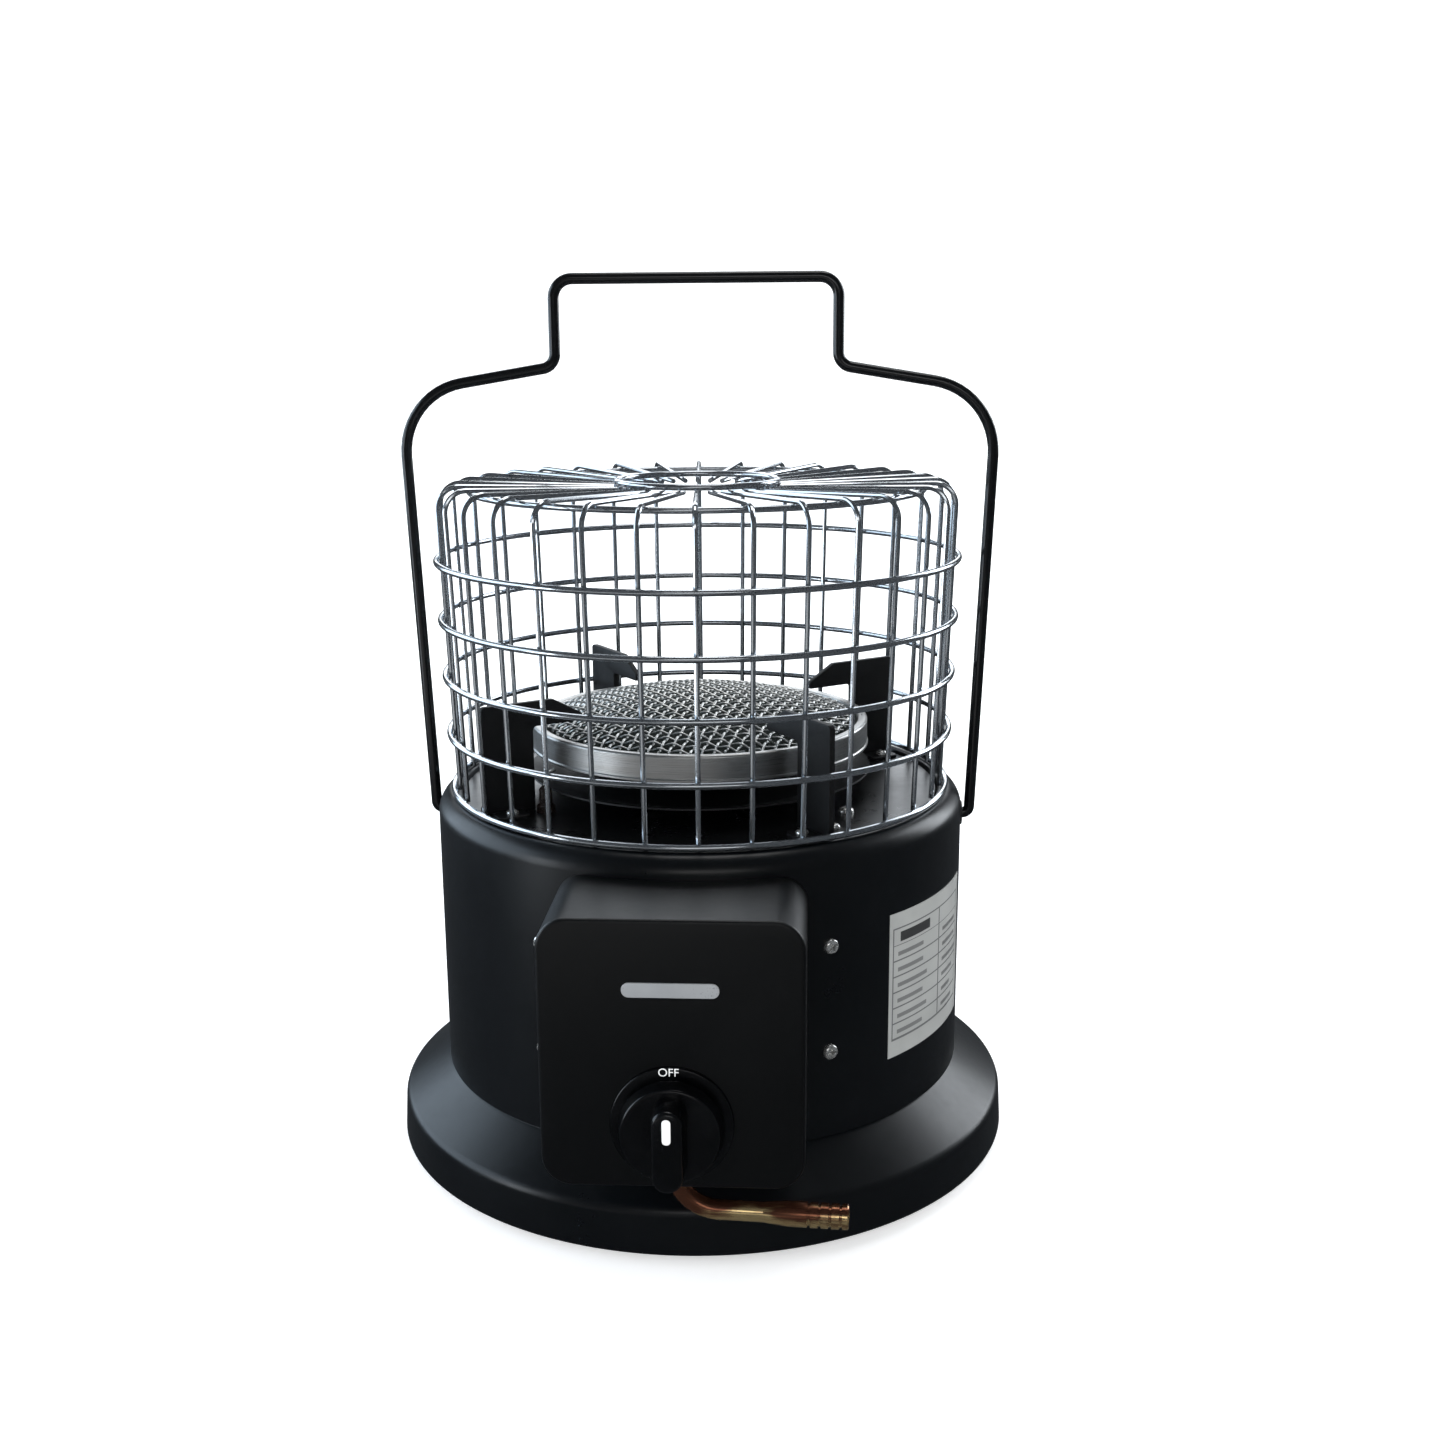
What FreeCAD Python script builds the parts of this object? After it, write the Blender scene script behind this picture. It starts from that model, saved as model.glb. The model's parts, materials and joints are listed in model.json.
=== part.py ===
"""Portable gas heater with a lift-off wire guard, pot supports and a carrying handle.

Millimetres. The origin is on the drum's axis at floor level, +Z is up and the control box faces -Y.
An azimuth is measured round the axis from the front (-Y) towards +X.
"""
import FreeCAD, Part
import math
import os

V = FreeCAD.Vector
UP = V(0, 0, 1)
FRONT = V(0, -1, 0)

# Overall
drum_radius = 130.0
drum_sheet = 1.0
seam_play = 0.1
foot_height = 5.0
skirt_radius = 154.0
skirt_draft = 1.2
skirt_top = 43.0
skirt_sheet = 1.0
drum_top = 180.4
shoulder_radius = 9.7
plate_level = 178.7
plate_sheet = 1.2

# Burner
burner_radius = 83.3
burner_low = 200.5
burner_high = 213.7
burner_lip = 5.0
mesh_rise = 15.5
mesh_thickness = 1.6
bowl_sheet = 1.2
ceramic_low = 207.3
ceramic_thickness = 4.0
shield_radius = 85.0
shield_level = 184.0
neck_radius = 15.0

# Pot supports
support_azimuths = [34.0, 124.0, 214.0, 304.0]
support_outer = 117.0
support_width = 26.0
support_tip = 65.0
support_top = 231.0
support_thickness = 3.0

# Wire guard
wire_count = 32
wire_diameter = 2.4
ring_diameter = 3.0
first_wire_azimuth = 3.7
ring_levels = [182.2, 210.1, 238.4, 265.5, 293.8]
ring_low_radius = 122.0
ring_high_radius = 126.0
guard_corner_height = 329.4
guard_corner_radius = 10.0
guard_dip = 2.9
small_ring_radius = 38.9
under_ring_radius = 109.0
wire_inner_end = 31.5

# Carrying handle
handle_wire = 5.3
pivot_height = 164.0
pivot_bore_play = 0.05
handle_foot_x = 134.5
handle_foot_bend = 3.4
handle_shoulder_bend = 34.0
handle_neck_bend = 7.0
handle_grip_bend = 9.0
handle_inner_end = 119.0
handle_wide_x = 142.5
handle_shoulder_z = 371.0
handle_neck_x = 67.5
handle_neck_z = 383.5
handle_top_z = 424.0

# Control box
box_width = 110.0
box_low = 52.3
box_high = 169.9
box_front = -178.6
box_corner = 13.0
box_sheet = 1.5
label_foil = 0.25
label_start = 45.0
label_end = 78.0

# Knob and valve
knob_height = 81.3
bezel_radius = 25.8
bezel_thickness = 2.0
dial_radius = 20.4
dial_base_radius = 22.2
dial_back = -184.6
dial_front = -190.5
grip_radius = 17.8
grip_front = -205.0
grip_width = 14.5
stem_radius = 4.0
valve_front = -170.0
valve_back = -140.0

# Gas inlet
nozzle_x = -0.5
nozzle_y = -165.0
nozzle_top = 62.0
nozzle_level = 36.0
nozzle_reach = 74.0
nozzle_bend = 18.6
nozzle_turn = 4.0
nozzle_diameter = 8.6
nozzle_bore = 5.0
nozzle_crest = 10.8
nozzle_ribbed = 26.0
nozzle_taper = 10.0
groove_width = 1.3
groove_depth = 0.8
groove_pitch = 4.5


def polar(radius, azimuth, height=0.0):
    angle = math.radians(azimuth)
    return V(radius * math.sin(angle), -radius * math.cos(angle), height)


def turned(shape, azimuth):
    """Turn a shape drawn with its radius along +X to an azimuth."""
    copy = shape.copy()
    copy.rotate(V(0, 0, 0), UP, azimuth - 90.0)
    return copy


def placed(shape, position, direction):
    """Move a shape drawn along +Z so that it stands at position and points along direction."""
    copy = shape.copy()
    copy.Placement = FreeCAD.Placement(position, FreeCAD.Rotation(UP, direction)).multiply(copy.Placement)
    return copy


def bent_edges(points, radii):
    """Straight runs through the points, with a tangent arc of the given radius at each inner point."""
    edges = []
    start = points[0]
    for index, radius in enumerate(radii, 1):
        corner = points[index]
        back = (points[index - 1] - corner).normalize()
        ahead = (points[index + 1] - corner).normalize()
        half = back.getAngle(ahead) / 2
        reach = max(radius, 0) / math.tan(half)
        entry = corner + back * reach
        edges.append(Part.makeLine(start, entry))
        start = entry
        if radius > 0:
            leave = corner + ahead * reach
            middle = corner + (back + ahead).normalize() * (radius / math.sin(half) - radius)
            edges.append(Part.Arc(entry, middle, leave).toShape())
            start = leave
    edges.append(Part.makeLine(start, points[-1]))
    return edges


def offset_points(points, distance):
    """The same outline moved to the left of its own direction, in the XZ plane."""
    result = []
    for index, point in enumerate(points):
        normals = []
        for first, second in ((index - 1, index), (index, index + 1)):
            if first >= 0 and second < len(points):
                along = (points[second] - points[first]).normalize()
                normals.append(V(-along.z, 0, along.x))
        shift = normals[0] if len(normals) == 1 else (normals[0] + normals[1]).normalize()
        result.append(point + shift * (distance / shift.dot(normals[0])))
    return result


def offset_radii(points, radii, distance):
    """Arc radii of an outline after offset_points: a left turn tightens and a right turn opens."""
    changed = []
    for index, radius in enumerate(radii, 1):
        before = points[index] - points[index - 1]
        after = points[index + 1] - points[index]
        left = before.x * after.z - before.z * after.x > 0
        changed.append(max(radius - distance if left else radius + distance, 0.0))
    return changed


def spun_sheet(outline, radii, thickness):
    """A pressed sheet: the outline of (radius, height) points spun about Z, thickened to its left."""
    points = [V(radius, 0, height) for radius, height in outline]
    other = offset_points(points, thickness)
    outer = bent_edges(points, radii)
    inner = bent_edges(other, offset_radii(points, radii, thickness))
    ends = [Part.makeLine(points[-1], other[-1]), Part.makeLine(other[0], points[0])]
    wire = Part.Wire(Part.__sortEdges__(outer + inner + ends))
    return Part.Face(wire).revolve(V(0, 0, 0), UP, 360).removeSplitter()


def spun_solid(outline):
    """A turned solid from a closed outline of (radius, height) points."""
    points = [V(radius, 0, height) for radius, height in outline]
    solid = Part.Face(Part.makePolygon(points + points[:1])).revolve(V(0, 0, 0), UP, 360)
    return solid


def rod(points, radii, diameter):
    """Round wire bent along a path."""
    wire = Part.Wire(bent_edges(points, radii))
    circle = Part.Wire(Part.makeCircle(diameter / 2, points[0], points[1] - points[0]))
    return wire.makePipeShell([circle], True, False)


def tube(points, radii, diameter, wall):
    return rod(points, radii, diameter).cut(rod(points, radii, diameter - 2 * wall))


def pan_screw(head_diameter, shank_diameter, length):
    """Cross-recessed pan head: the head stands on z = 0 and the shank points down."""
    head_height = head_diameter * 0.36
    head = Part.makeCylinder(head_diameter / 2, head_height)
    head = head.makeFillet(head_height * 0.7, [head.Edges[0]])
    for angle in (0, 90):
        slot = Part.makeBox(head_diameter * 0.56, head_diameter * 0.13, head_height,
                            V(-head_diameter * 0.28, -head_diameter * 0.065, head_height * 0.45))
        slot.rotate(V(0, 0, 0), UP, angle)
        head = head.cut(slot)
    return head.fuse(Part.makeCylinder(shank_diameter / 2, length, V(0, 0, -length))).removeSplitter()


def rounded_block(width, low, high, front, back, corner):
    """A block along Y with rounded corners in its XZ outline."""
    block = Part.makeBox(width, back - front, high - low, V(-width / 2, front, low))
    along = [edge for edge in block.Edges if abs(edge.tangentAt(edge.FirstParameter).y) > 0.9]
    return block.makeFillet(corner, along)


def holes(solid, drill, places):
    """Cut a drill, drawn along +Z through its origin, at each (position, direction)."""
    return solid.cut(Part.Compound([placed(drill, position, direction) for position, direction in places]))


# ---- Base -------------------------------------------------------------------------------------

foot_azimuths = [-120.0, -60.0, 60.0, 120.0]
foot_circle = 135.0
foot_radius = 8.5
foot_bore = 2.1
foot_recess = 3.2
floor_level = foot_height + skirt_sheet
drum_screw_azimuths = [-29.1, 30.0]
drum_screw_levels = [85.0, 135.0]
support_screw_radius = 106.0
support_screw_offset = 8.5
support_bore_radius = 1.6
window_width = 70.0
window_low = 60.0
window_high = 158.0


def base_skirt():
    collar = drum_radius - drum_sheet - seam_play
    shoulder = skirt_radius - skirt_draft
    outline = [(145.0, foot_height), (skirt_radius, foot_height), (shoulder, 26.2),
               (collar, skirt_top), (collar, skirt_top + 11.0)]
    return spun_sheet(outline, [2.0, 6.0, 1.2], skirt_sheet)


def base_plate():
    """Floor of the pan, with a ring of air slots under the burner's mixing tube."""
    disc = Part.makeCylinder(skirt_radius - 2.6, 1.0, V(0, 0, floor_level))
    slot = rounded_slot(30.0, 6.0, 3.0)
    slots = [turned(moved(slot, V(95.0, 0, floor_level - 1)), 15.0 + 30.0 * step) for step in range(12)]
    bores = [Part.makeCylinder(foot_bore, 3.0, polar(foot_circle, azimuth, floor_level - 1))
             for azimuth in foot_azimuths]
    return disc.cut(Part.Compound(slots + bores))


def rounded_slot(length, width, depth):
    """A through slot along X with round ends, standing on z = 0."""
    straight = length - width
    body = Part.makeBox(straight, width, depth, V(-straight / 2, -width / 2, 0))
    for end in (-straight / 2, straight / 2):
        body = body.fuse(Part.makeCylinder(width / 2, depth, V(end, 0, 0)))
    return body.removeSplitter()


def moved(shape, shift):
    copy = shape.copy()
    copy.translate(shift)
    return copy


def foot(azimuth):
    """Rubber foot with a recess that hides its screw."""
    outline = [(foot_bore, foot_recess), (4.2, foot_recess), (4.2, 0.0), (foot_radius - 1.0, 0.0),
               (foot_radius, floor_level - 1.4), (foot_radius, floor_level), (foot_bore, floor_level)]
    return moved(spun_solid(outline), polar(foot_circle, azimuth))


def foot_screws():
    screw = pan_screw(7.4, 2 * foot_bore, 7.0)
    return Part.Compound([placed(screw, polar(foot_circle, azimuth, foot_recess), V(0, 0, -1))
                          for azimuth in foot_azimuths])


def drum():
    """Deep-drawn can: a rolled shoulder carries the guard and a low flange carries the top plate."""
    flange = plate_level - plate_sheet
    outline = [(drum_radius, skirt_top + 0.7), (drum_radius, drum_top), (119.0, drum_top),
               (117.6, flange), (98.0, flange)]
    shell = spun_sheet(outline, [shoulder_radius, 1.6, 0.9], drum_sheet)
    window = rounded_block(window_width, window_low, window_high, -drum_radius - 5, -100.0, 8.0)
    shell = shell.cut(window)
    pivot = Part.makeCylinder(4.5, 30.0, V(0, 0, -15.0))
    places = [(V(side * drum_radius, 0, pivot_height), V(1, 0, 0)) for side in (-1, 1)]
    shell = holes(shell, pivot, places)
    screw = Part.makeCylinder(1.9, 20.0, V(0, 0, -10.0))
    places = [(polar(drum_radius, azimuth, level), polar(1, azimuth))
              for azimuth in drum_screw_azimuths for level in drum_screw_levels]
    places += box_screw_places(drum_radius)
    shell = holes(shell, screw, places)
    support_bore = Part.makeCylinder(support_bore_radius, 8.0, V(0, 0, -6.0))
    return holes(shell, support_bore, [(place, UP) for place in support_screw_places()])


def drum_screws():
    screw = pan_screw(7.2, 3.8, 6.0)
    return Part.Compound([placed(screw, polar(drum_radius, azimuth, level), polar(1, azimuth))
                          for azimuth in drum_screw_azimuths for level in drum_screw_levels])


def top_plate():
    """Recessed plate that carries the burner and the pot supports."""
    disc = Part.makeCylinder(117.2, plate_sheet, V(0, 0, plate_level - plate_sheet))
    disc = disc.cut(Part.makeCylinder(neck_radius + 3.0, 10.0, V(0, 0, plate_level - 5)))
    slot = rounded_slot(18.0, 5.0, 4.0)
    slots = [turned(moved(slot, V(60.0, 0, plate_level - 2)), 22.5 + 45.0 * step) for step in range(8)]
    bores = [Part.makeCylinder(support_bore_radius, 6.0, moved_down(place, 3.0))
             for place in support_screw_places()]
    bores += [Part.makeCylinder(1.9, 6.0, moved_down(place, 3.0)) for place in plate_screw_places()]
    lead = Part.makeCylinder(3.3, 10.0, polar(electrode_circle, electrode_azimuth, plate_level - 5))
    return disc.cut(Part.Compound(slots + bores + [lead]))


def moved_down(point, distance):
    return point - UP * distance


plate_screw_circle = 89.5
plate_screw_azimuths = [54.0, 174.0, 294.0]


def plate_screw_places():
    return [polar(plate_screw_circle, azimuth, plate_level) for azimuth in plate_screw_azimuths]


def plate_screws():
    screw = pan_screw(7.2, 3.8, 5.0)
    return Part.Compound([moved(screw, place) for place in plate_screw_places()])


# ---- Burner -----------------------------------------------------------------------------------

bridge_front = -124.0
bridge_back = -122.5
electrode_azimuth = -51.0
electrode_circle = 89.0


def heat_shield():
    """Shallow saucer that keeps the burner's heat off the top plate."""
    outline = [(neck_radius + 1.6, shield_level), (68.0, shield_level), (shield_radius, shield_level + 4.2)]
    shield = spun_sheet(outline, [18.0], 0.8)
    return shield.fuse(shield_posts())


def shield_posts():
    posts = [Part.makeCylinder(3.0, shield_level - plate_level, polar(45.0, 60.0 * step, plate_level))
             for step in range(6)]
    return Part.Compound(posts)


def burner_bowl():
    """Gas chamber under the burner plate, with a neck that seats on the mixing tube."""
    neck = neck_radius + bowl_sheet
    rim = ceramic_low - bowl_sheet
    outline = [(neck, shield_level - 14.0), (neck, shield_level + 3.6), (58.0, shield_level + 7.0),
               (79.0, rim - 4.0), (79.6, rim), (burner_radius - 0.8, rim)]
    return spun_sheet(outline, [4.0, 14.0, 3.0, 0.6], bowl_sheet)


def burner_ring():
    """Band with a narrow rolled lip that clamps the mesh and the ceramic plate."""
    inner = burner_radius - burner_lip
    outline = [(burner_radius - 1.6, burner_low), (burner_radius, burner_low + 0.6),
               (burner_radius, burner_high), (inner + 0.6, burner_high - 0.4), (inner, burner_high - 2.1)]
    return spun_sheet(outline, [0.0, 1.4, 0.9], 0.8)


def ceramic_plate():
    return Part.makeCylinder(burner_radius - 1.3, ceramic_thickness, V(0, 0, ceramic_low))


def mesh_dome():
    """Woven wire cap, drawn as a plain thin dome."""
    rim = burner_radius - burner_lip - 1.2
    base = ceramic_low + ceramic_thickness
    apex = base + mesh_rise
    radius = (rim ** 2 + mesh_rise ** 2) / (2 * mesh_rise)
    centre = V(0, 0, apex - radius)
    slab = Part.makeCylinder(rim, mesh_rise + 5, V(0, 0, base))
    outer = Part.makeSphere(radius, centre)
    inner = Part.makeSphere(radius - mesh_thickness, centre)
    return outer.cut(inner).common(slab)


def mixing_tube():
    """Bell-mouthed pipe from the jet to the burner's neck."""
    points = [V(0, -92, knob_height), V(0, 0, knob_height), V(0, 0, shield_level - 8.4)]
    pipe = tube(points, [38.0], 2 * neck_radius, 1.5)
    bell = spun_sheet([(neck_radius, 0.0), (neck_radius, 8.0), (neck_radius + 7.0, 18.0)], [10.0], 1.5)
    bell = placed(bell, V(0, -91, knob_height), FRONT)
    return pipe.fuse(bell).removeSplitter()


def gas_jet():
    """Brass jet with a hexagon and a fine outlet that points into the bell."""
    hexagon = Part.Face(Part.makePolygon([polar(8.0, 60.0 * step) for step in range(7)]))
    body = hexagon.extrude(V(0, 0, 8)).fuse(Part.makeCone(5.0, 2.2, 9.0, V(0, 0, 8)))
    body = body.cut(Part.makeCylinder(0.6, 20, V(0, 0, -1))).cut(Part.makeCylinder(3.0, 6, V(0, 0, -1)))
    return placed(body, V(0, bridge_back, knob_height), V(0, 1, 0))


def gas_pipe():
    points = [V(0, valve_back, knob_height), V(0, bridge_back, knob_height)]
    return tube(points, [], 8.0, 1.0)


def jet_bracket():
    """Strap inside the drum that carries the valve, the jet and the control box."""
    strap = ring_sector(drum_radius - drum_sheet - 1.2, drum_radius - drum_sheet, 76.0, 144.0, -36.0, 36.0)
    strap = strap.cut(rounded_block(window_width - 16, window_low, 128.0, -140.0, -90.0, 6.0))
    arms = [Part.makeBox(1.5, 27.5, 24.0, V(side * 12.25 - 0.75, -150.0, 70.0)) for side in (-1, 1)]
    bridge = Part.makeBox(64.0, 1.5, 30.0, V(-32.0, bridge_front, 70.0))
    bridge = bridge.cut(along_y(4.0, -130.0, -110.0))
    screw = Part.makeCylinder(1.9, 20.0, V(0, 0, -10.0))
    places = [(polar(drum_radius, azimuth, level), polar(1, azimuth))
              for azimuth in drum_screw_azimuths for level in drum_screw_levels]
    strap = holes(strap, screw, places + box_screw_places(drum_radius))
    return strap.fuse(arms + [bridge]).removeSplitter()


def ring_sector(inner, outer, low, high, first, last):
    """Part of a tube between two azimuths."""
    face = Part.Face(Part.makePolygon([V(inner, 0, low), V(outer, 0, low), V(outer, 0, high),
                                       V(inner, 0, high), V(inner, 0, low)]))
    return turned(face.revolve(V(0, 0, 0), UP, last - first), first)


def spark_electrode():
    """Steel pin that rises beside the burner and leans in under its band."""
    foot_point = polar(electrode_circle, electrode_azimuth, 166.0)
    bend_point = polar(electrode_circle, electrode_azimuth, burner_low - 4.0)
    tip = polar(burner_radius + 0.5, electrode_azimuth, burner_low - 2.0)
    return rod([foot_point, bend_point, tip], [2.5], 1.8)


def electrode_insulator():
    outline = [(0.9, 168.0), (3.0, 168.0), (3.0, plate_level), (4.4, plate_level), (4.4, plate_level + 3.0),
               (3.0, plate_level + 4.5), (3.0, 190.0), (0.9, 192.0)]
    return moved(spun_solid(outline), polar(electrode_circle, electrode_azimuth))


# ---- Pot supports -----------------------------------------------------------------------------

def support_screw_places():
    places = []
    for azimuth in support_azimuths:
        for side in (-1, 1):
            radial = V(support_screw_radius, side * support_screw_offset, plate_level)
            places.append(turned_point(radial, azimuth))
    return places


def turned_point(point, azimuth):
    return FreeCAD.Rotation(UP, azimuth - 90.0).multVec(point)


def pot_support(azimuth):
    """Upright plate with an inward arm, on a folded foot."""
    inner = support_outer - support_width
    outline = [(inner, plate_level), (support_outer, plate_level), (support_outer, support_top),
               (support_tip + 15.0, support_top), (support_tip, support_top - 8.5),
               (support_tip, support_top - 12.0), (inner, support_top - 12.0)]
    points = [V(radius, 0, height) for radius, height in outline]
    plate = Part.Face(Part.makePolygon(points + points[:1])).extrude(V(0, support_thickness, 0))
    plate.translate(V(0, -support_thickness / 2, 0))
    crossing = [edge for edge in plate.Edges if abs(edge.tangentAt(edge.FirstParameter).y) > 0.9]
    top_edges = [edge for edge in crossing if edge.CenterOfMass.z > support_top - 9]
    plate = plate.makeFillet(2.0, top_edges)
    base = Part.makeBox(16.0, 26.0, 1.5, V(support_screw_radius - 8.0, -13.0, plate_level))
    uprights = [edge for edge in base.Edges if abs(edge.tangentAt(edge.FirstParameter).z) > 0.9]
    base = base.makeFillet(3.0, uprights)
    bores = [Part.makeCylinder(support_bore_radius, 5.0,
                               V(support_screw_radius, side * support_screw_offset, plate_level - 1))
             for side in (-1, 1)]
    return turned(plate.fuse(base).cut(Part.Compound(bores)).removeSplitter(), azimuth)


def support_screws():
    screw = pan_screw(6.0, 3.2, 6.0)
    return Part.Compound([moved(screw, place + UP * 1.5) for place in support_screw_places()])


# ---- Wire guard -------------------------------------------------------------------------------

def ring_radius(level):
    low, high = ring_levels[0], ring_levels[-1]
    share = (level - low) / (high - low)
    return ring_low_radius + (ring_high_radius - ring_low_radius) * share


def guard_ring(level):
    return Part.makeTorus(ring_radius(level), ring_diameter / 2, V(0, 0, level), UP)


def wire_inset():
    return (ring_diameter + wire_diameter) / 2


def guard_wires():
    """Upright wires that bend over at the top and run in towards the small ring."""
    foot_level = ring_levels[0]
    points = [V(ring_radius(foot_level) - wire_inset(), 0, foot_level),
              V(ring_radius(guard_corner_height) - wire_inset(), 0, guard_corner_height),
              V(wire_inner_end, 0, guard_corner_height - guard_dip)]
    wire = rod(points, [guard_corner_radius], wire_diameter)
    step = 360.0 / wire_count
    return [turned(wire, first_wire_azimuth + step * index) for index in range(wire_count)]


def crown_height(radius):
    span = ring_high_radius - wire_inner_end
    return guard_corner_height - guard_dip * (ring_high_radius - radius) / span


def guard_small_ring():
    level = crown_height(small_ring_radius) + wire_inset()
    return Part.makeTorus(small_ring_radius, ring_diameter / 2, V(0, 0, level), UP)


def guard_under_ring():
    level = crown_height(under_ring_radius) - wire_inset()
    return Part.makeTorus(under_ring_radius, ring_diameter / 2, V(0, 0, level), UP)


# ---- Handle -----------------------------------------------------------------------------------

def handle():
    """Bail of round wire whose feet turn in through the drum's sides."""
    half = [V(handle_inner_end, 0, pivot_height), V(handle_foot_x, 0, pivot_height),
            V(handle_wide_x, 0, handle_shoulder_z), V(handle_neck_x, 0, handle_neck_z),
            V(handle_neck_x, 0, handle_top_z)]
    other = [V(-point.x, 0, point.z) for point in reversed(half)]
    radii = [handle_foot_bend, handle_shoulder_bend, handle_neck_bend, handle_grip_bend]
    return rod(half + other, radii + radii[::-1], handle_wire)


def pivot_bush(side):
    bore = handle_wire / 2 + pivot_bore_play
    outline = [(bore, -5.0), (4.5, -5.0), (4.5, 0.0), (6.0, 0.0), (6.0, 0.9), (bore, 0.9)]
    return placed(spun_solid(outline), V(side * drum_radius, 0, pivot_height), V(side, 0, 0))


def handle_clips():
    """Push-on washers that keep the handle's feet in the bushes."""
    clip = Part.makeCylinder(5.5, 0.8).cut(Part.makeCylinder(handle_wire / 2, 0.8))
    return Part.Compound([placed(clip, V(side * 120.0, 0, pivot_height), V(side, 0, 0)) for side in (-1, 1)])


# ---- Control box ------------------------------------------------------------------------------

def box_outline(inset, front, back):
    return rounded_block(box_width - 2 * inset, box_low + inset, box_high - inset, front, back,
                         box_corner - inset)


def box_screw_places(radius):
    """Screws that pull the box's rear flange onto the drum."""
    azimuth = 22.0
    return [(polar(radius, side * azimuth, level), polar(1, side * azimuth))
            for side in (-1, 1) for level in (box_low + 38.0, box_high - 30.0)]


def control_box():
    """Cover with a flat front, open behind, whose rear edge follows the drum."""
    drum_core = Part.makeCylinder(drum_radius + seam_play / 2, 300.0)
    shell = box_outline(0.0, box_front, -90.0)
    front_edges = [edge for edge in shell.Edges if abs(edge.CenterOfMass.y - box_front) < 0.01]
    shell = shell.makeFillet(1.2, front_edges)
    shell = shell.cut(box_outline(box_sheet, box_front + box_sheet, -80.0)).cut(drum_core)
    flange = Part.makeCylinder(drum_radius + 1.2, 300.0).cut(drum_core)
    flange = flange.common(box_outline(0.5, box_front, -90.0)).cut(box_outline(10.0, box_front - 1, -80.0))
    shell = shell.fuse(flange)
    stem_hole = placed(Part.makeCylinder(7.0, 10.0), V(0, box_front - 4, knob_height), V(0, 1, 0))
    inlet_hole = Part.makeCylinder(nozzle_diameter / 2 + 1.0, 10.0, V(nozzle_x, nozzle_y, box_low - 4))
    shell = shell.cut(stem_hole).cut(inlet_hole)
    return holes(shell, Part.makeCylinder(1.9, 20.0, V(0, 0, -10.0)), box_screw_places(drum_radius))


def box_screws():
    """Screws driven from inside the drum."""
    screw = pan_screw(6.6, 3.6, 5.5)
    inside = drum_radius - drum_sheet - 1.2 - seam_play / 2
    return Part.Compound([placed(screw, position, direction * -1)
                          for position, direction in box_screw_places(inside)])


def nameplate():
    """Blank pill-shaped plate on the front."""
    plate = rounded_block(40.0, 136.8, 143.2, box_front - 0.6, box_front, 3.0)
    rim = [edge for edge in plate.Edges if abs(edge.CenterOfMass.y - box_front + 0.6) < 0.01]
    return plate.makeFillet(0.25, rim)


def data_label():
    """Blank foil label round the right side of the drum."""
    return ring_sector(drum_radius, drum_radius + label_foil, 72.0, 142.0, label_start, label_end)


# ---- Valve and knob ---------------------------------------------------------------------------

plunger_radius = 8.0
spring_seat = -156.0
plunger_back = -163.0
plunger_front = -172.5
knob_travel = 3.0
spring_radius = 6.2
spring_wire = 1.0
spring_pocket = knob_travel + 0.2
duct_drop = 9.8
duct_back = -148.2


def along_y(radius, front, back):
    """A cylinder about the knob's axis between two depths."""
    return placed(Part.makeCylinder(radius, back - front), V(0, front, knob_height), V(0, 1, 0))


def knob_bezel():
    """Flat disc behind the dial that carries the dial's mark."""
    face = box_front - bezel_thickness
    disc = along_y(bezel_radius, face, box_front)
    rim = [edge for edge in disc.Edges if abs(edge.CenterOfMass.y - face) < 0.01]
    return disc.makeFillet(0.8, rim).cut(along_y(7.0, face - 1, box_front + 1))


def knob():
    """Dial with a raised grip bar across it."""
    dial = placed(Part.makeCone(dial_radius, dial_base_radius, dial_back - dial_front),
                  V(0, dial_front, knob_height), V(0, 1, 0))
    rim = [edge for edge in dial.Edges if abs(edge.CenterOfMass.y - dial_front) < 0.01]
    dial = dial.makeFillet(1.2, rim)
    bar = Part.makeBox(grip_width, dial_front - grip_front + 1.0, 60.0,
                       V(-grip_width / 2, grip_front, knob_height - 30.0))
    bar = bar.common(along_y(grip_radius, grip_front, dial_front + 1.0))
    front_edges = [edge for edge in bar.Edges if abs(edge.CenterOfMass.y - grip_front) < 0.01]
    bar = bar.makeFillet(2.2, front_edges)
    body = dial.fuse(bar).removeSplitter()
    body = body.cut(along_y(stem_radius, grip_front + 5.0, dial_back + 1.0))
    return body.cut(indicator_block())


def indicator_block():
    """White line set into the front of the grip, pointing away from the centre."""
    low, high = knob_height + 3.9, knob_height + 14.9
    return rounded_block(3.6, low, high, grip_front + 0.02, grip_front + 1.2, 1.7)


def valve_stem():
    """Spindle that the knob turns and pushes."""
    shaft = along_y(stem_radius, grip_front + 5.0, plunger_back - 1.1)
    tail = along_y(stem_radius - 0.5, plunger_back - 1.1, -150.5)
    return shaft.fuse(tail).removeSplitter()


def valve_plunger():
    """Sleeve round the stem that the spring pushes out and that doesn't turn."""
    sleeve = along_y(plunger_radius, plunger_front, plunger_back)
    sleeve = sleeve.cut(along_y(stem_radius + 0.05, plunger_front - 1, plunger_back - 1.0))
    sleeve = sleeve.cut(along_y(stem_radius - 0.45, plunger_front - 1, plunger_back + 1))
    pocket_end = plunger_back - spring_pocket
    core = along_y(spring_radius - 0.8, pocket_end - 1, plunger_back + 2)
    return sleeve.cut(along_y(spring_radius + 0.8, pocket_end, plunger_back + 1).cut(core))


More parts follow.
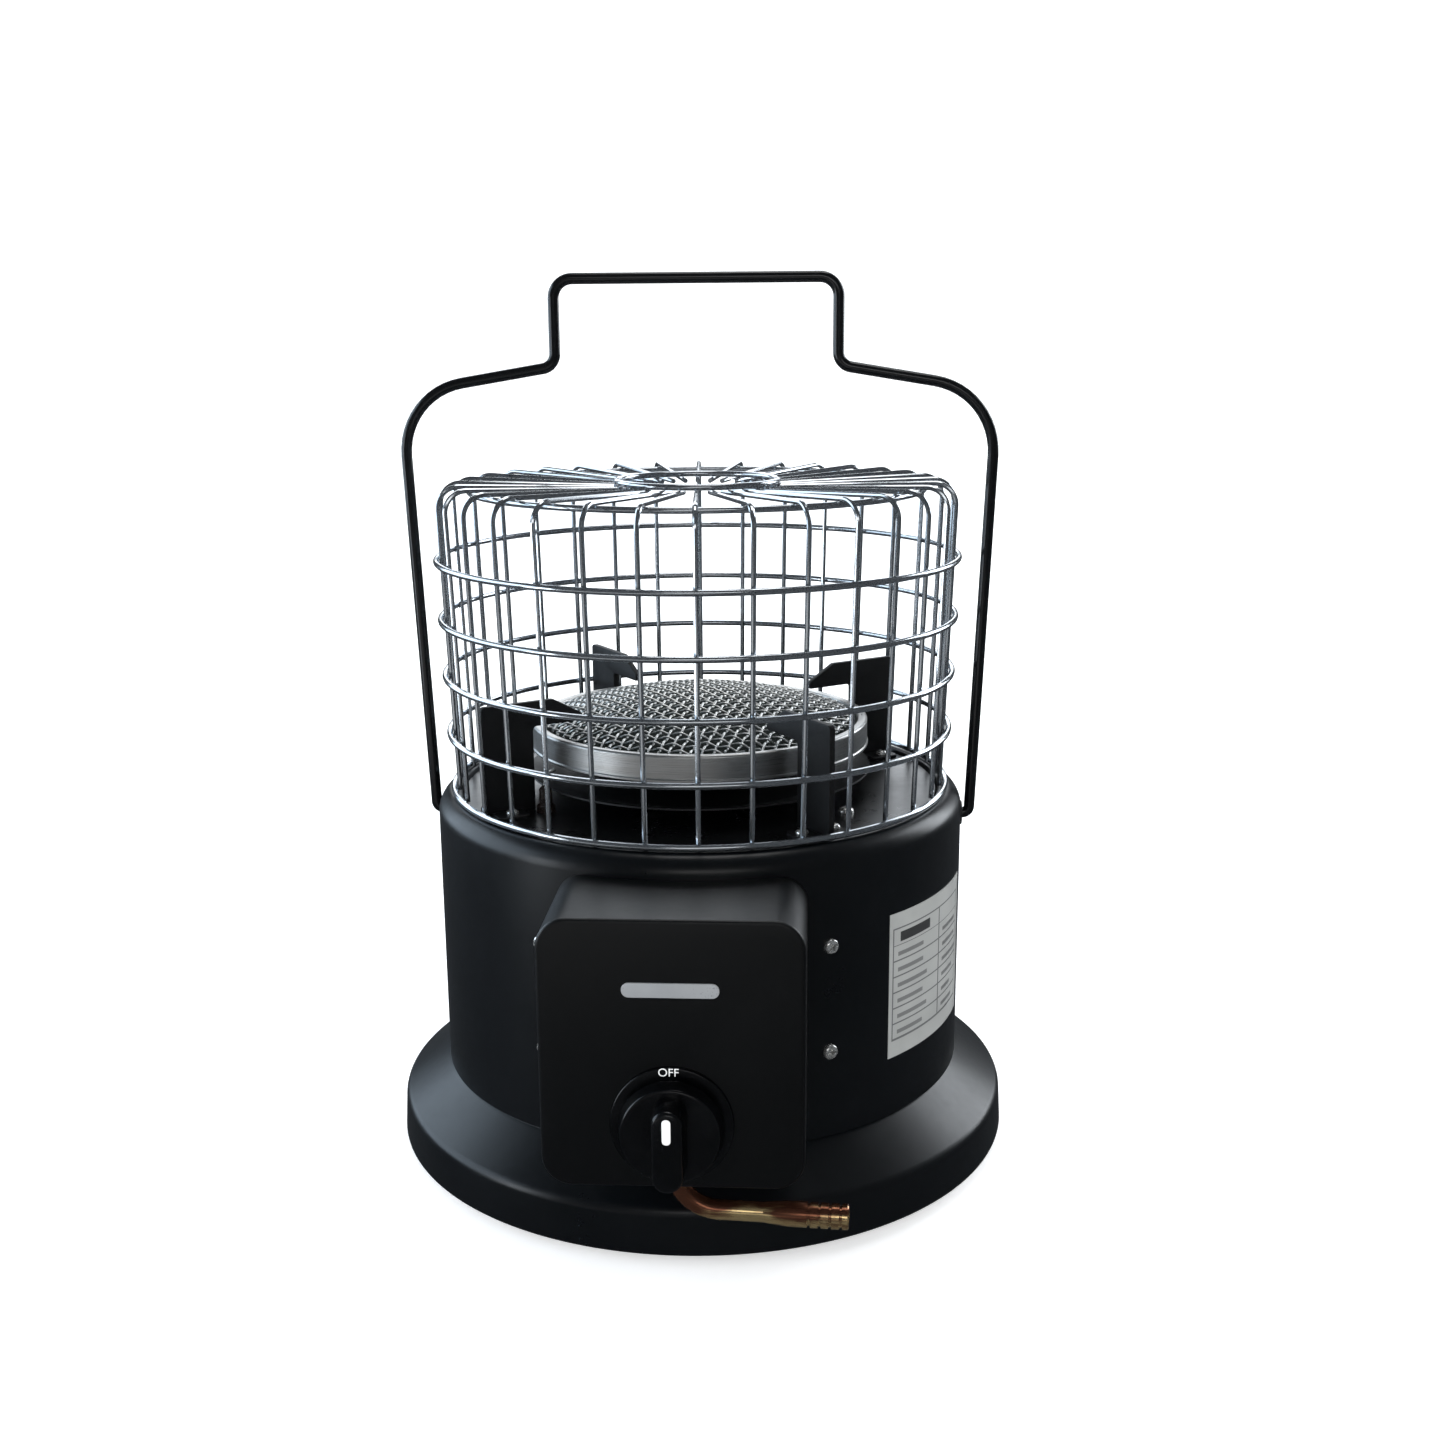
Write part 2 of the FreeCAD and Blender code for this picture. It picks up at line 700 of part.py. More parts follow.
def return_spring():
    """Coil between the seat and the plunger's pocket, at the length it has with the knob pushed in."""
    height = spring_seat - plunger_back - spring_wire
    helix = Part.makeHelix(height / 3.0, height, spring_radius)
    circle = Part.Wire(Part.makeCircle(spring_wire / 2, V(spring_radius, 0, 0), V(0, 1, 0)))
    coil = Part.Wire(helix).makePipeShell([circle], True, True)
    return placed(coil, V(0, plunger_back + spring_wire / 2, knob_height), V(0, 1, 0))


def valve_body():
    """Tap body with a bore for the spring and plunger, an inlet below and an outlet behind."""
    body = along_y(11.5, valve_front, valve_back)
    inlet = Part.makeCylinder(7.5, knob_height - nozzle_top, V(nozzle_x, nozzle_y, nozzle_top))
    body = body.fuse(inlet).removeSplitter()
    body = body.cut(along_y(plunger_radius + 0.05, valve_front - 4, spring_seat))
    body = body.cut(along_y(stem_radius + 0.4, spring_seat - 1, -146.0))
    body = body.cut(along_y(3.0, duct_back, valve_back + 1))
    feed = Part.makeCylinder(2.5, knob_height - 9.3 - nozzle_top + 1, V(nozzle_x, nozzle_y, nozzle_top - 1))
    duct_level = knob_height - duct_drop
    duct_start = V(nozzle_x, nozzle_y, duct_level)
    duct = placed(Part.makeCylinder(1.0, duct_back - nozzle_y + 1), duct_start, V(0, 1, 0))
    cross = placed(Part.makeCylinder(0.8, duct_drop), V(nozzle_x, duct_back, duct_level), UP)
    return body.cut(feed).cut(cross).cut(duct)


def piezo_igniter():
    """Spark unit held on the valve, with its contact at the top."""
    barrel = Part.makeCylinder(6.5, 32.0, V(20.0, -156.0, 92.0))
    barrel = barrel.fuse(Part.makeCylinder(2.5, 5.0, V(20.0, -156.0, 124.0)))
    arm = Part.makeBox(9.0, 8.0, 20.0, V(11.0, -160.0, 78.0))
    return barrel.fuse(arm).cut(along_y(11.5, valve_front, valve_back)).removeSplitter()


def ignition_lead():
    """Lead from the spark unit, through the drum's window, to the electrode."""
    end = polar(electrode_circle, electrode_azimuth)
    points = [V(20, -156, 129), V(20, -156, 146), V(14, -138, 151), V(-8, -118, 152), V(-30, -96, 150),
              V(end.x + 6, end.y - 6, 146), V(end.x, end.y, 156), V(end.x, end.y, 166)]
    radii = []
    for index in range(1, len(points) - 1):
        before, after = points[index] - points[index - 1], points[index + 1] - points[index]
        shorter = min(before.Length, after.Length)
        radii.append(0.45 * shorter / math.tan(before.getAngle(after) / 2))
    return rod(points, radii, 3.0)


def nozzle_direction():
    angle = math.radians(nozzle_turn)
    return V(math.cos(angle), -math.sin(angle), 0)


def nozzle_points():
    corner = V(nozzle_x, nozzle_y, nozzle_level)
    return [V(nozzle_x, nozzle_y, nozzle_top), corner, corner + nozzle_direction() * nozzle_reach]


def hose_nozzle():
    """Bent brass tail with a ribbed end for a rubber hose."""
    start, corner, end = nozzle_points()
    body = rod([start, corner, end], [nozzle_bend], nozzle_diameter)
    sleeve = Part.makeCylinder(nozzle_crest / 2, nozzle_ribbed)
    floor = Part.makeCylinder(nozzle_crest / 2 - groove_depth, groove_width)
    groove = Part.makeCylinder(nozzle_crest, groove_width).cut(floor)
    for step in range(4):
        sleeve = sleeve.cut(moved(groove, V(0, 0, nozzle_ribbed - 4.0 - groove_pitch * step)))
    taper = Part.makeCone(nozzle_diameter / 2, nozzle_crest / 2, nozzle_taper, V(0, 0, -nozzle_taper))
    sleeve = placed(sleeve.fuse(taper), end - nozzle_direction() * nozzle_ribbed, nozzle_direction())
    body = body.fuse(sleeve).removeSplitter()
    return body.cut(rod([start + UP, corner, end + nozzle_direction()], [nozzle_bend], nozzle_bore))


def inlet_nut():
    height = 7.4
    hexagon = Part.Face(Part.makePolygon([polar(9.5, 60.0 * step) for step in range(7)]))
    nut = hexagon.extrude(V(0, 0, height)).cut(Part.makeCylinder(nozzle_diameter / 2, height))
    return moved(nut, V(nozzle_x, nozzle_y, nozzle_top - height))


# ---- Export -----------------------------------------------------------------------------------

def all_nodes():
    nodes = {"base_skirt": base_skirt(), "base_plate": base_plate(), "foot_screws": foot_screws(),
             "drum": drum(), "drum_screws": drum_screws(), "top_plate": top_plate(),
             "plate_screws": plate_screws(), "heat_shield": heat_shield(), "burner_bowl": burner_bowl(),
             "burner_ring": burner_ring(), "ceramic_plate": ceramic_plate(), "mesh_dome": mesh_dome(),
             "mixing_tube": mixing_tube(), "gas_jet": gas_jet(), "gas_pipe": gas_pipe(),
             "jet_bracket": jet_bracket(), "spark_electrode": spark_electrode(),
             "electrode_insulator": electrode_insulator(), "support_screws": support_screws(),
             "guard_small_ring": guard_small_ring(), "guard_under_ring": guard_under_ring(),
             "handle": handle(), "handle_clips": handle_clips(), "control_box": control_box(),
             "box_screws": box_screws(), "nameplate": nameplate(), "data_label": data_label(),
             "knob_bezel": knob_bezel(), "knob": knob(), "knob_indicator": indicator_block(),
             "valve_stem": valve_stem(), "valve_plunger": valve_plunger(), "return_spring": return_spring(),
             "valve_body": valve_body(), "piezo_igniter": piezo_igniter(), "ignition_lead": ignition_lead(),
             "hose_nozzle": hose_nozzle(), "inlet_nut": inlet_nut(),
             "guard_wires": Part.Compound(guard_wires())}
    for index, azimuth in enumerate(foot_azimuths, 1):
        nodes["foot_%d" % index] = foot(azimuth)
    for index, azimuth in enumerate(support_azimuths, 1):
        nodes["pot_support_%d" % index] = pot_support(azimuth)
    for index, level in enumerate(ring_levels, 1):
        nodes["guard_ring_%d" % index] = guard_ring(level)
    for name, side in (("left", -1), ("right", 1)):
        nodes["pivot_bush_" + name] = pivot_bush(side)
    return nodes


os.makedirs("parts", exist_ok=True)
for node, shape in all_nodes().items():
    if not shape.isValid() or not shape.Solids:
        print("check", node, "valid:", shape.isValid(), "solids:", len(shape.Solids))
    shape.exportStep("parts/%s.step" % node)
    print(node, len(shape.Solids), "solids", round(sum(solid.Volume for solid in shape.Solids)), "mm3")
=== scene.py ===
import bpy
import bmesh
import json
import math
from functools import partialmethod
from mathutils import Matrix, Vector

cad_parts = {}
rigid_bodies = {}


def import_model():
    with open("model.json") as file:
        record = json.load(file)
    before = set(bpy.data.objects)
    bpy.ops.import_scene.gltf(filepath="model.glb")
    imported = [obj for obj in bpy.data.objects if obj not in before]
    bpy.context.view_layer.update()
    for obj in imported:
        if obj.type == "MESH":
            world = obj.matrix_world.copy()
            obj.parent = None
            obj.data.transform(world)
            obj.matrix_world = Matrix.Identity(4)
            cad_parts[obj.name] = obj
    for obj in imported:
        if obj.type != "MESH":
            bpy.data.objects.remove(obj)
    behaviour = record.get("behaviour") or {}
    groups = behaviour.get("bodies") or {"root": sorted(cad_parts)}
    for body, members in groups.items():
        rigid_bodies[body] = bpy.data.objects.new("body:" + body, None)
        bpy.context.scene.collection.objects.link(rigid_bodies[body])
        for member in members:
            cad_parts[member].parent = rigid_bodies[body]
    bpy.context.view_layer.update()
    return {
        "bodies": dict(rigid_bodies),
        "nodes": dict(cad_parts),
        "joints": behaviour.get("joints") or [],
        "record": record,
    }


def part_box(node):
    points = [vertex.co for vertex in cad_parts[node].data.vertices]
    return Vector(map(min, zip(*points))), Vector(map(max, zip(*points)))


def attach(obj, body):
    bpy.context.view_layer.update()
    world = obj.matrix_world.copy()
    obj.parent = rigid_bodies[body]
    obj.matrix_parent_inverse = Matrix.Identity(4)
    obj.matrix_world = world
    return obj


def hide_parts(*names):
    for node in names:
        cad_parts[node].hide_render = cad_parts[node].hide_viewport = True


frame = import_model()
nodes = frame["nodes"]
mm = 0.001
up = Vector((0, 0, 1))


def fromMm(**lengths):
    # lengths given in millimetres, alone or in lists
    return {name: [part * mm for part in value] if isinstance(value, list) else value * mm
            for name, value in lengths.items()}


# Graphs: one class wraps a socket so that arithmetic adds Math nodes, and one method makes any other node.

class Field:
    def __init__(self, graph, socket):
        self.graph = graph
        self.socket = socket

    def pick(self, name):
        return Field(self.graph, self.socket.node.outputs[name])

    def calc(self, operation, *others):
        return self.graph.make("ShaderNodeMath", {"operation": operation}, dict(enumerate((self,) + others)))

    def __rsub__(self, other):
        return self.graph.make("ShaderNodeMath", {"operation": "SUBTRACT"}, {0: other, 1: self})

    __add__ = __radd__ = partialmethod(calc, "ADD")
    __sub__ = partialmethod(calc, "SUBTRACT")
    __mul__ = __rmul__ = partialmethod(calc, "MULTIPLY")
    __truediv__ = partialmethod(calc, "DIVIDE")
    below = partialmethod(calc, "LESS_THAN")
    above = partialmethod(calc, "GREATER_THAN")


class Graph:
    def __init__(self, tree):
        self.tree = tree

    def make(self, kind, settings=None, values=None):
        node = self.tree.nodes.new(kind)
        for key, value in (settings or {}).items():
            setattr(node, key, value)
        for key, value in (values or {}).items():
            self.feed(node.inputs[key], value)
        shown = [socket for socket in node.outputs if socket.enabled]
        return Field(self, shown[0]) if shown else node

    def feed(self, socket, value):
        if isinstance(value, Field):
            self.tree.links.new(value.socket, socket)
        else:
            socket.default_value = value

    def mixColour(self, share, first, second):
        node = self.make("ShaderNodeMix", {"data_type": "RGBA"}, {0: share}).socket.node
        for index, value in ((6, first), (7, second)):
            self.feed(node.inputs[index], (*value, 1.0) if isinstance(value, tuple) else value)
        return Field(self, node.outputs[2])

    def noise(self, where, scale, detail=3.0, rough=0.5):
        values = {"Vector": where, "Scale": scale, "Detail": detail, "Roughness": rough}
        return self.make("ShaderNodeTexNoise", {}, values)

    def stretch(self, where, factors):
        return self.make("ShaderNodeMapping", {}, {"Vector": where, "Scale": factors})

    def between(self, value, low, high, outLow=0.0, outHigh=1.0):
        return self.make("ShaderNodeMapRange", {}, {"Value": value, 1: low, 2: high, 3: outLow, 4: outHigh})

    def bump(self, height, distance, strength=1.0):
        return self.make("ShaderNodeBump", {}, {"Height": height, "Distance": distance, "Strength": strength})

    def vector(self, **parts):
        return self.make("ShaderNodeCombineXYZ", {}, parts)

    def axes(self, where):
        parts = self.make("ShaderNodeSeparateXYZ", {}, {0: where})
        return [parts.pick(axis) for axis in "XYZ"]

    def geometry(self, kind, values=None, settings=None):
        return self.make("GeometryNode" + kind, settings, values)

    def attribute(self, name, kind="FLOAT"):
        return self.geometry("InputNamedAttribute", {"Name": name}, {"data_type": kind})

    def circle(self, resolution, diameter):
        return self.geometry("CurvePrimitiveCircle", {"Resolution": resolution, "Radius": diameter * 0.5})


def newMaterial(name, paint, fixed):
    material = bpy.data.materials.new(name)
    material.use_nodes = True
    material.node_tree.nodes.clear()
    graph = Graph(material.node_tree)
    where = graph.make("ShaderNodeTexCoord").pick("Object")
    values = {**fixed, **paint(graph, where)}
    for key, value in values.items():
        if isinstance(value, tuple):
            values[key] = (*value, 1.0)
    shader = graph.make("ShaderNodeBsdfPrincipled", {}, values)
    graph.make("ShaderNodeOutputMaterial", {}, {"Surface": shader})
    return material


def enamel(colour, dull, gloss, peel=None):
    # black coat with faint clouds and cloth marks in its gloss, and orange peel where it is given
    def paint(graph, where):
        cloud = graph.noise(where, 14.0, 4.0)
        fine = graph.noise(where, 260.0, 3.0)
        wipe = graph.noise(graph.stretch(where, (1.0, 1.0, 0.35)), 30.0, 3.0)
        lighter = tuple(channel * 1.8 + 0.0006 for channel in colour)
        base = graph.mixColour(graph.between(cloud, 0.35, 0.75, 0.0, 0.35), colour, lighter)
        rough = graph.between(cloud * 0.4 + wipe * 0.35 + fine * 0.25, 0.35, 0.65, gloss, dull)
        look = {"Base Color": base, "Roughness": rough}
        if peel:
            skin = graph.noise(where, peel["scale"], 2.0)
            look["Normal"] = graph.bump(skin * peel["depth"], 0.0002, peel["strength"])
        return look
    return paint


def drawnMetal(colour, stain, gloss, dull, grain, relief=0.3):
    # clean metal with stained clouds and a fine grain
    def paint(graph, where):
        cloud = graph.noise(where, 38.0, 4.0)
        fine = graph.noise(where, grain, 3.0)
        look = {"Base Color": graph.mixColour(graph.between(cloud, 0.45, 0.85, 0.0, 0.8), colour, stain),
                "Roughness": graph.between(cloud * 0.5 + fine * 0.5, 0.35, 0.65, gloss, dull)}
        if relief:
            look["Normal"] = graph.bump(fine, 0.00003, relief)
        return look
    return paint


def brushedBand(graph, where):
    # brushing runs round the band: stretched noise on the angle round the axis and the height
    x, y, height = graph.axes(where)
    angle = y.calc("ARCTAN2", x)
    lines = graph.noise(graph.vector(X=angle * 2.2, Y=height * 5200.0), 1.0, 3.0, 0.7)
    wide = graph.noise(graph.vector(X=angle * 1.2, Y=height * 130.0), 1.6, 2.0)
    base = graph.mixColour(graph.between(lines, 0.3, 0.7), (0.36, 0.36, 0.355), (0.62, 0.615, 0.60))
    base = graph.mixColour(graph.between(wide, 0.55, 0.8, 0.0, 0.5), base, (0.33, 0.30, 0.27))
    rough = graph.between(lines, 0.3, 0.7, 0.24, 0.44)
    return {"Base Color": base, "Roughness": rough, "Normal": graph.bump(lines, 0.00004, 0.7)}


def heatTinted(graph, where):
    # woven wire: pale at the rim, faintly straw and blue towards the hot middle
    x, y = graph.axes(where)[:2]
    reach = (x * x + y * y).calc("SQRT")
    cloud = graph.noise(where, 60.0, 3.0)
    warm = graph.between(reach + cloud * 0.03, 0.02, 0.09, 0.55, 0.0)
    base = graph.mixColour(warm, (0.72, 0.73, 0.72), (0.62, 0.60, 0.55))
    fine = graph.noise(where, 1600.0, 2.0)
    base = graph.mixColour(graph.between(fine, 0.5, 0.8, 0.0, 0.5), base, (0.20, 0.20, 0.20))
    return {"Base Color": base, "Roughness": graph.between(fine, 0.3, 0.7, 0.24, 0.42),
            "Normal": graph.bump(fine, 0.00006, 0.6)}


def perforatedCeramic(graph, where):
    # rows of small round gas holes in a dark greenish plate; the holes are painted near-black as a painted
    # shade for their depth
    cell = 0.0024
    x, y = graph.axes(where)[:2]
    column = x / cell
    row = y / (cell * 0.866)
    odd = (row.calc("FLOOR") * 0.5).calc("FRACT").above(0.25)
    across = (column + odd * 0.5).calc("FRACT") - 0.5
    along = (row.calc("FRACT") - 0.5) * 0.866
    spread = (across * across + along * along).calc("SQRT")
    hole = graph.between(spread, 0.20, 0.30, 1.0, 0.0)
    cloud = graph.noise(where, 45.0, 4.0)
    plate = graph.mixColour(cloud, (0.005, 0.011, 0.008), (0.012, 0.020, 0.015))
    # painted shade: the holes get a near-black colour for the shade inside them
    base = graph.mixColour(hole, plate, (0.001, 0.0015, 0.0015))
    grit = graph.noise(where, 1500.0, 2.0)
    return {"Base Color": base, "Roughness": graph.between(grit, 0.3, 0.7, 0.7, 0.9),
            "Normal": graph.bump(grit * 0.2 - hole, 0.0006, 0.8)}


def mouldedPlastic(colour, gloss, dull, grain):
    def paint(graph, where):
        grit = graph.noise(where, grain, 2.0)
        cloud = graph.noise(where, 70.0, 3.0)
        lighter = tuple(channel * 1.6 + 0.001 for channel in colour)
        base = graph.mixColour(graph.between(cloud, 0.4, 0.75), colour, lighter)
        rough = graph.between(cloud * 0.5 + grit * 0.5, 0.3, 0.7, gloss, dull)
        return {"Base Color": base, "Roughness": rough, "Normal": graph.bump(grit, 0.00003, 0.04)}
    return paint


def tarnishedShadedBrass(graph, where):
    # gold with reddish-brown heat tarnish in long streaks, and a painted shade that darkens the upper side to
    # the same reddish brown
    height = graph.axes(where)[2]
    cloud = graph.noise(where, 55.0, 4.0)
    streaks = graph.noise(graph.stretch(where, (14.0, 420.0, 520.0)), 1.0, 3.0)
    # painted shade: a height mask pulls the upper side of the pipe towards the dark reddish brown
    upperShade = graph.between(height + cloud * 0.006, 0.0385, 0.0425)
    tarnishAndShade = graph.between(streaks * 0.55 + cloud * 0.45 + upperShade * 0.22, 0.50, 0.66)
    gold = graph.mixColour(graph.between(cloud, 0.35, 0.7), (0.80, 0.60, 0.30), (0.66, 0.46, 0.22))
    # the dark reddish brown carries both the tarnish streaks and the painted shade on the upper side
    base = graph.mixColour(tarnishAndShade, gold, (0.20, 0.08, 0.045))
    fine = graph.noise(where, 1600.0, 2.0)
    return {"Base Color": base, "Roughness": graph.between(cloud * 0.5 + fine * 0.5, 0.3, 0.7, 0.12, 0.26),
            "Normal": graph.bump(fine, 0.00003, 0.15)}


labelPrint = {"step": 0.109, "foot": 0.123, "column": 0.565, "rule": 0.045, "upright": 0.014, "top": 0.777,
              "bar": (0.10, 0.43, 0.795, 0.862), "frame": (0.040, 0.930, 0.123, 0.886)}


def ruledFoil(graph, where):
    # a blank data label: a dark heading bar, a frame and ruled rows in two columns, on the label's own UV map
    spot = graph.make("ShaderNodeUVMap", {"uv_map": "labelMap"}, {})
    across, height = graph.axes(spot)[:2]

    def inside(box, grow=0.0):
        left, right, low, high = box
        return (across.above(left - grow) * across.below(right + grow)
                * height.above(low - grow) * height.below(high + grow))

    step = (height - labelPrint["foot"]) / labelPrint["step"]
    rules = (step.calc("FRACT") - 0.5).calc("ABSOLUTE").above(0.5 - labelPrint["rule"])
    upright = (across - labelPrint["column"]).calc("ABSOLUTE").below(labelPrint["upright"] / 2)
    table = height.below(labelPrint["top"])
    frame = inside(labelPrint["frame"], 0.010) - inside(labelPrint["frame"])
    entry = ((step.calc("FRACT") - 0.42).calc("ABSOLUTE")).below(0.13)
    side = across.above(labelPrint["column"])
    reach = graph.noise(graph.vector(X=side * 7.3, Y=step.calc("FLOOR") * 3.7), 5.0, 0.0)
    local = across - side * (labelPrint["column"] - 0.02)
    within = inside(labelPrint["frame"])
    entry = entry * table * within * local.above(0.08) * local.below(0.14 + reach * 0.42)
    lines = ((rules * table + upright) * within + frame).calc("MINIMUM", 1.0)
    bar = inside(labelPrint["bar"])
    cloud = graph.noise(where, 90.0, 3.0)
    foil = graph.mixColour(cloud, (0.33, 0.335, 0.325), (0.42, 0.425, 0.41))
    base = graph.mixColour(entry * 0.62, foil, (0.05, 0.05, 0.055))
    base = graph.mixColour(lines * 0.75, base, (0.05, 0.05, 0.055))
    base = graph.mixColour(bar * 0.92, base, (0.012, 0.012, 0.014))
    rough = graph.between(cloud, 0.3, 0.7, 0.34, 0.5) + lines * 0.12
    return {"Base Color": base, "Roughness": rough, "Normal": graph.bump(cloud, 0.0001, 0.2)}


def paleBackdrop(graph, where):
    cloud = graph.noise(where, 1.2, 3.0)
    return {"Base Color": graph.mixColour(cloud, (0.82, 0.82, 0.82), (0.86, 0.86, 0.86))}


def specular(level):
    return {"Specular IOR Level": level}


def metallic(share):
    return {"Metallic": share}


peelFine = {"scale": 620.0, "depth": 0.6, "strength": 0.015}
peelCoarse = {"scale": 900.0, "depth": 0.8, "strength": 0.20}

finishTable = {
    "drumEnamel": (enamel((0.0016, 0.0023, 0.0033), 0.38, 0.27, peelFine), specular(0.36)),
    "plateEnamel": (enamel((0.0030, 0.0033, 0.0038), 0.36, 0.24, peelFine), specular(0.5)),
    "boxCoat": (enamel((0.0008, 0.0012, 0.0018), 0.43, 0.36), specular(0.46)),
    "stoveBlack": (enamel((0.0040, 0.0043, 0.0050), 0.58, 0.42, peelCoarse), specular(0.34)),
    "handleGloss": (enamel((0.0020, 0.0022, 0.0026), 0.24, 0.14, peelFine), specular(0.5)),
    "guardChrome": (drawnMetal((0.54, 0.57, 0.60), (0.40, 0.42, 0.45), 0.12, 0.20, 2400.0, 0.0),
                    metallic(0.97)),
    "brushedBand": (brushedBand, metallic(1.0)),
    "wovenWire": (heatTinted, metallic(1.0)),
    "zincScrew": (drawnMetal((0.80, 0.80, 0.78), (0.55, 0.55, 0.53), 0.15, 0.28, 1400.0), metallic(0.9)),
    "platedSteel": (drawnMetal((0.55, 0.55, 0.54), (0.36, 0.36, 0.35), 0.30, 0.48, 900.0), metallic(1.0)),
    "copperPipe": (drawnMetal((0.76, 0.42, 0.28), (0.42, 0.20, 0.14), 0.25, 0.42, 900.0), metallic(1.0)),
    "brass": (tarnishedShadedBrass, metallic(0.92)),
    "ceramic": (perforatedCeramic, specular(0.2)),
    "knobPlastic": (mouldedPlastic((0.0008, 0.0010, 0.0014), 0.18, 0.26, 1400.0), specular(0.42)),
    "bushNylon": (mouldedPlastic((0.006, 0.006, 0.0065), 0.42, 0.55, 900.0), {}),
    "footRubber": (mouldedPlastic((0.010, 0.010, 0.010), 0.68, 0.85, 700.0), {}),
    "brownGlaze": (mouldedPlastic((0.010, 0.007, 0.006), 0.22, 0.34, 500.0), {}),
    "leadSilicone": (mouldedPlastic((0.25, 0.03, 0.02), 0.45, 0.6, 800.0), {}),
    "whiteMark": (mouldedPlastic((0.70, 0.70, 0.69), 0.35, 0.5, 900.0), {}),
    "labelFoil": (ruledFoil, {**metallic(0.30), **specular(0.25)}),
    "plateSatin": (drawnMetal((0.36, 0.37, 0.38), (0.27, 0.28, 0.29), 0.26, 0.36, 1600.0), metallic(0.35)),
    "backdrop": (paleBackdrop,
                 {"Roughness": 0.8, "Emission Color": (1.0, 1.0, 1.0), "Emission Strength": 0.5}),
}
finishes = {name: newMaterial(name, paint, fixed) for name, (paint, fixed) in finishTable.items()}
print("finishes made:", len(finishes))


# Meshes

mergeDistance = 1e-6


def arcPath(points, radii, steps=10, closed=False):
    # straight runs through the points with a tangent arc at each inner point
    path = [Vector(points[0])]
    for index, radius in enumerate(radii, 1):
        corner = Vector(points[index])
        back = (Vector(points[index - 1]) - corner).normalized()
        ahead = (Vector(points[index + 1]) - corner).normalized()
        if radius <= 0:
            path.append(corner)
            continue
        half = back.angle(ahead) / 2
        centre = corner + (back + ahead).normalized() * (radius / math.sin(half))
        entry = corner + back * (radius / math.tan(half))
        leave = corner + ahead * (radius / math.tan(half))
        first, last = entry - centre, leave - centre
        sweep = first.angle(last)
        for step in range(steps + 1):
            share = step / steps
            blend = (first * math.sin((1 - share) * sweep) + last * math.sin(share * sweep)) / math.sin(sweep)
            path.append(centre + blend)
    path.append(Vector(points[-1]))
    return path


def offsetOutline(points, distance):
    moved = []
    for index, point in enumerate(points):
        normals = []
        for first, second in ((index - 1, index), (index, index + 1)):
            if first >= 0 and second < len(points):
                along = (Vector(points[second]) - Vector(points[first])).normalized()
                normals.append(Vector((-along.y, along.x)))
        shift = normals[0] if len(normals) == 1 else (normals[0] + normals[1]).normalized()
        moved.append(Vector(point) + shift * (distance / shift.dot(normals[0])))
    return moved


def sheetOutline(points, radii, thickness):
    # closed section of a bent sheet: the given side, then the other side on the way back
    other = offsetOutline(points, thickness)
    changed = []
    for index, radius in enumerate(radii, 1):
        before = Vector(points[index]) - Vector(points[index - 1])
        after = Vector(points[index + 1]) - Vector(points[index])
        turn = before.x * after.y - before.y * after.x
        changed.append(max(radius - thickness if turn > 0 else radius + thickness, 0.0))
    return arcPath(points, radii) + arcPath(other, changed)[::-1]


def meshObject(name, mesh, finish, smooth=30.0):
    for polygon in mesh.polygons:
        polygon.use_smooth = True
    mesh.set_sharp_from_angle(angle=math.radians(smooth))
    mesh.materials.clear()
    mesh.materials.append(finishes[finish])
    piece = bpy.data.objects.new(name, mesh)
    bpy.context.scene.collection.objects.link(piece)
    return piece


def fromBmesh(name, shape, finish, smooth=30.0):
    bmesh.ops.remove_doubles(shape, verts=shape.verts, dist=mergeDistance)
    bmesh.ops.recalc_face_normals(shape, faces=shape.faces)
    mesh = bpy.data.meshes.new(name)
    shape.to_mesh(mesh)
    shape.free()
    return meshObject(name, mesh, finish, smooth)


def spinOutline(name, outline, finish, around=160, smooth=30.0):
    # outline of (radius, height) pairs, closed on itself, turned about Z
    shape = bmesh.new()
    rings = []
    for step in range(around):
        angle = 2 * math.pi * step / around
        rings.append([shape.verts.new((point[0] * math.cos(angle), point[0] * math.sin(angle), point[1]))
                      for point in outline])
    count = len(outline)
    for step in range(around):
        here, there = rings[step], rings[(step + 1) % around]
        for index in range(count):
            following = (index + 1) % count
            shape.faces.new((here[index], here[following], there[following], there[index]))
    bmesh.ops.dissolve_degenerate(shape, edges=shape.edges, dist=mergeDistance / 10)
    return fromBmesh(name, shape, finish, smooth)


def roundedRect(width, low, high, corner, y, steps=8):
    # points of a rounded rectangle in a plane across Y
    half = width / 2
    corners = [((half - corner), (high - corner), 0), (-(half - corner), (high - corner), 90),
               (-(half - corner), (low + corner), 180), ((half - corner), (low + corner), 270)]
    points = []
    for x, z, start in corners:
        for step in range(steps + 1):
            angle = math.radians(start + 90.0 * step / steps)
            points.append(Vector((x + corner * math.cos(angle), y, z + corner * math.sin(angle))))
    return points


def loft(name, sections, finish, smooth=30.0):
    # closed solid through sections with the same number of points, capped at both ends
    shape = bmesh.new()
    rows = [[shape.verts.new(point) for point in section] for section in sections]
    count = len(rows[0])
    for before, after in zip(rows, rows[1:]):
        for index in range(count):
            following = (index + 1) % count
            shape.faces.new((before[index], before[following], after[following], after[index]))
    shape.faces.new(rows[0])
    shape.faces.new(rows[-1])
    return fromBmesh(name, shape, finish, smooth)


def quarterRound(radius, steps):
    # (inset, depth) pairs of a rounded front edge
    return [(radius * (1 - math.sin(math.pi / 2 * step / steps)),
             radius * (1 - math.cos(math.pi / 2 * step / steps))) for step in range(steps + 1)]


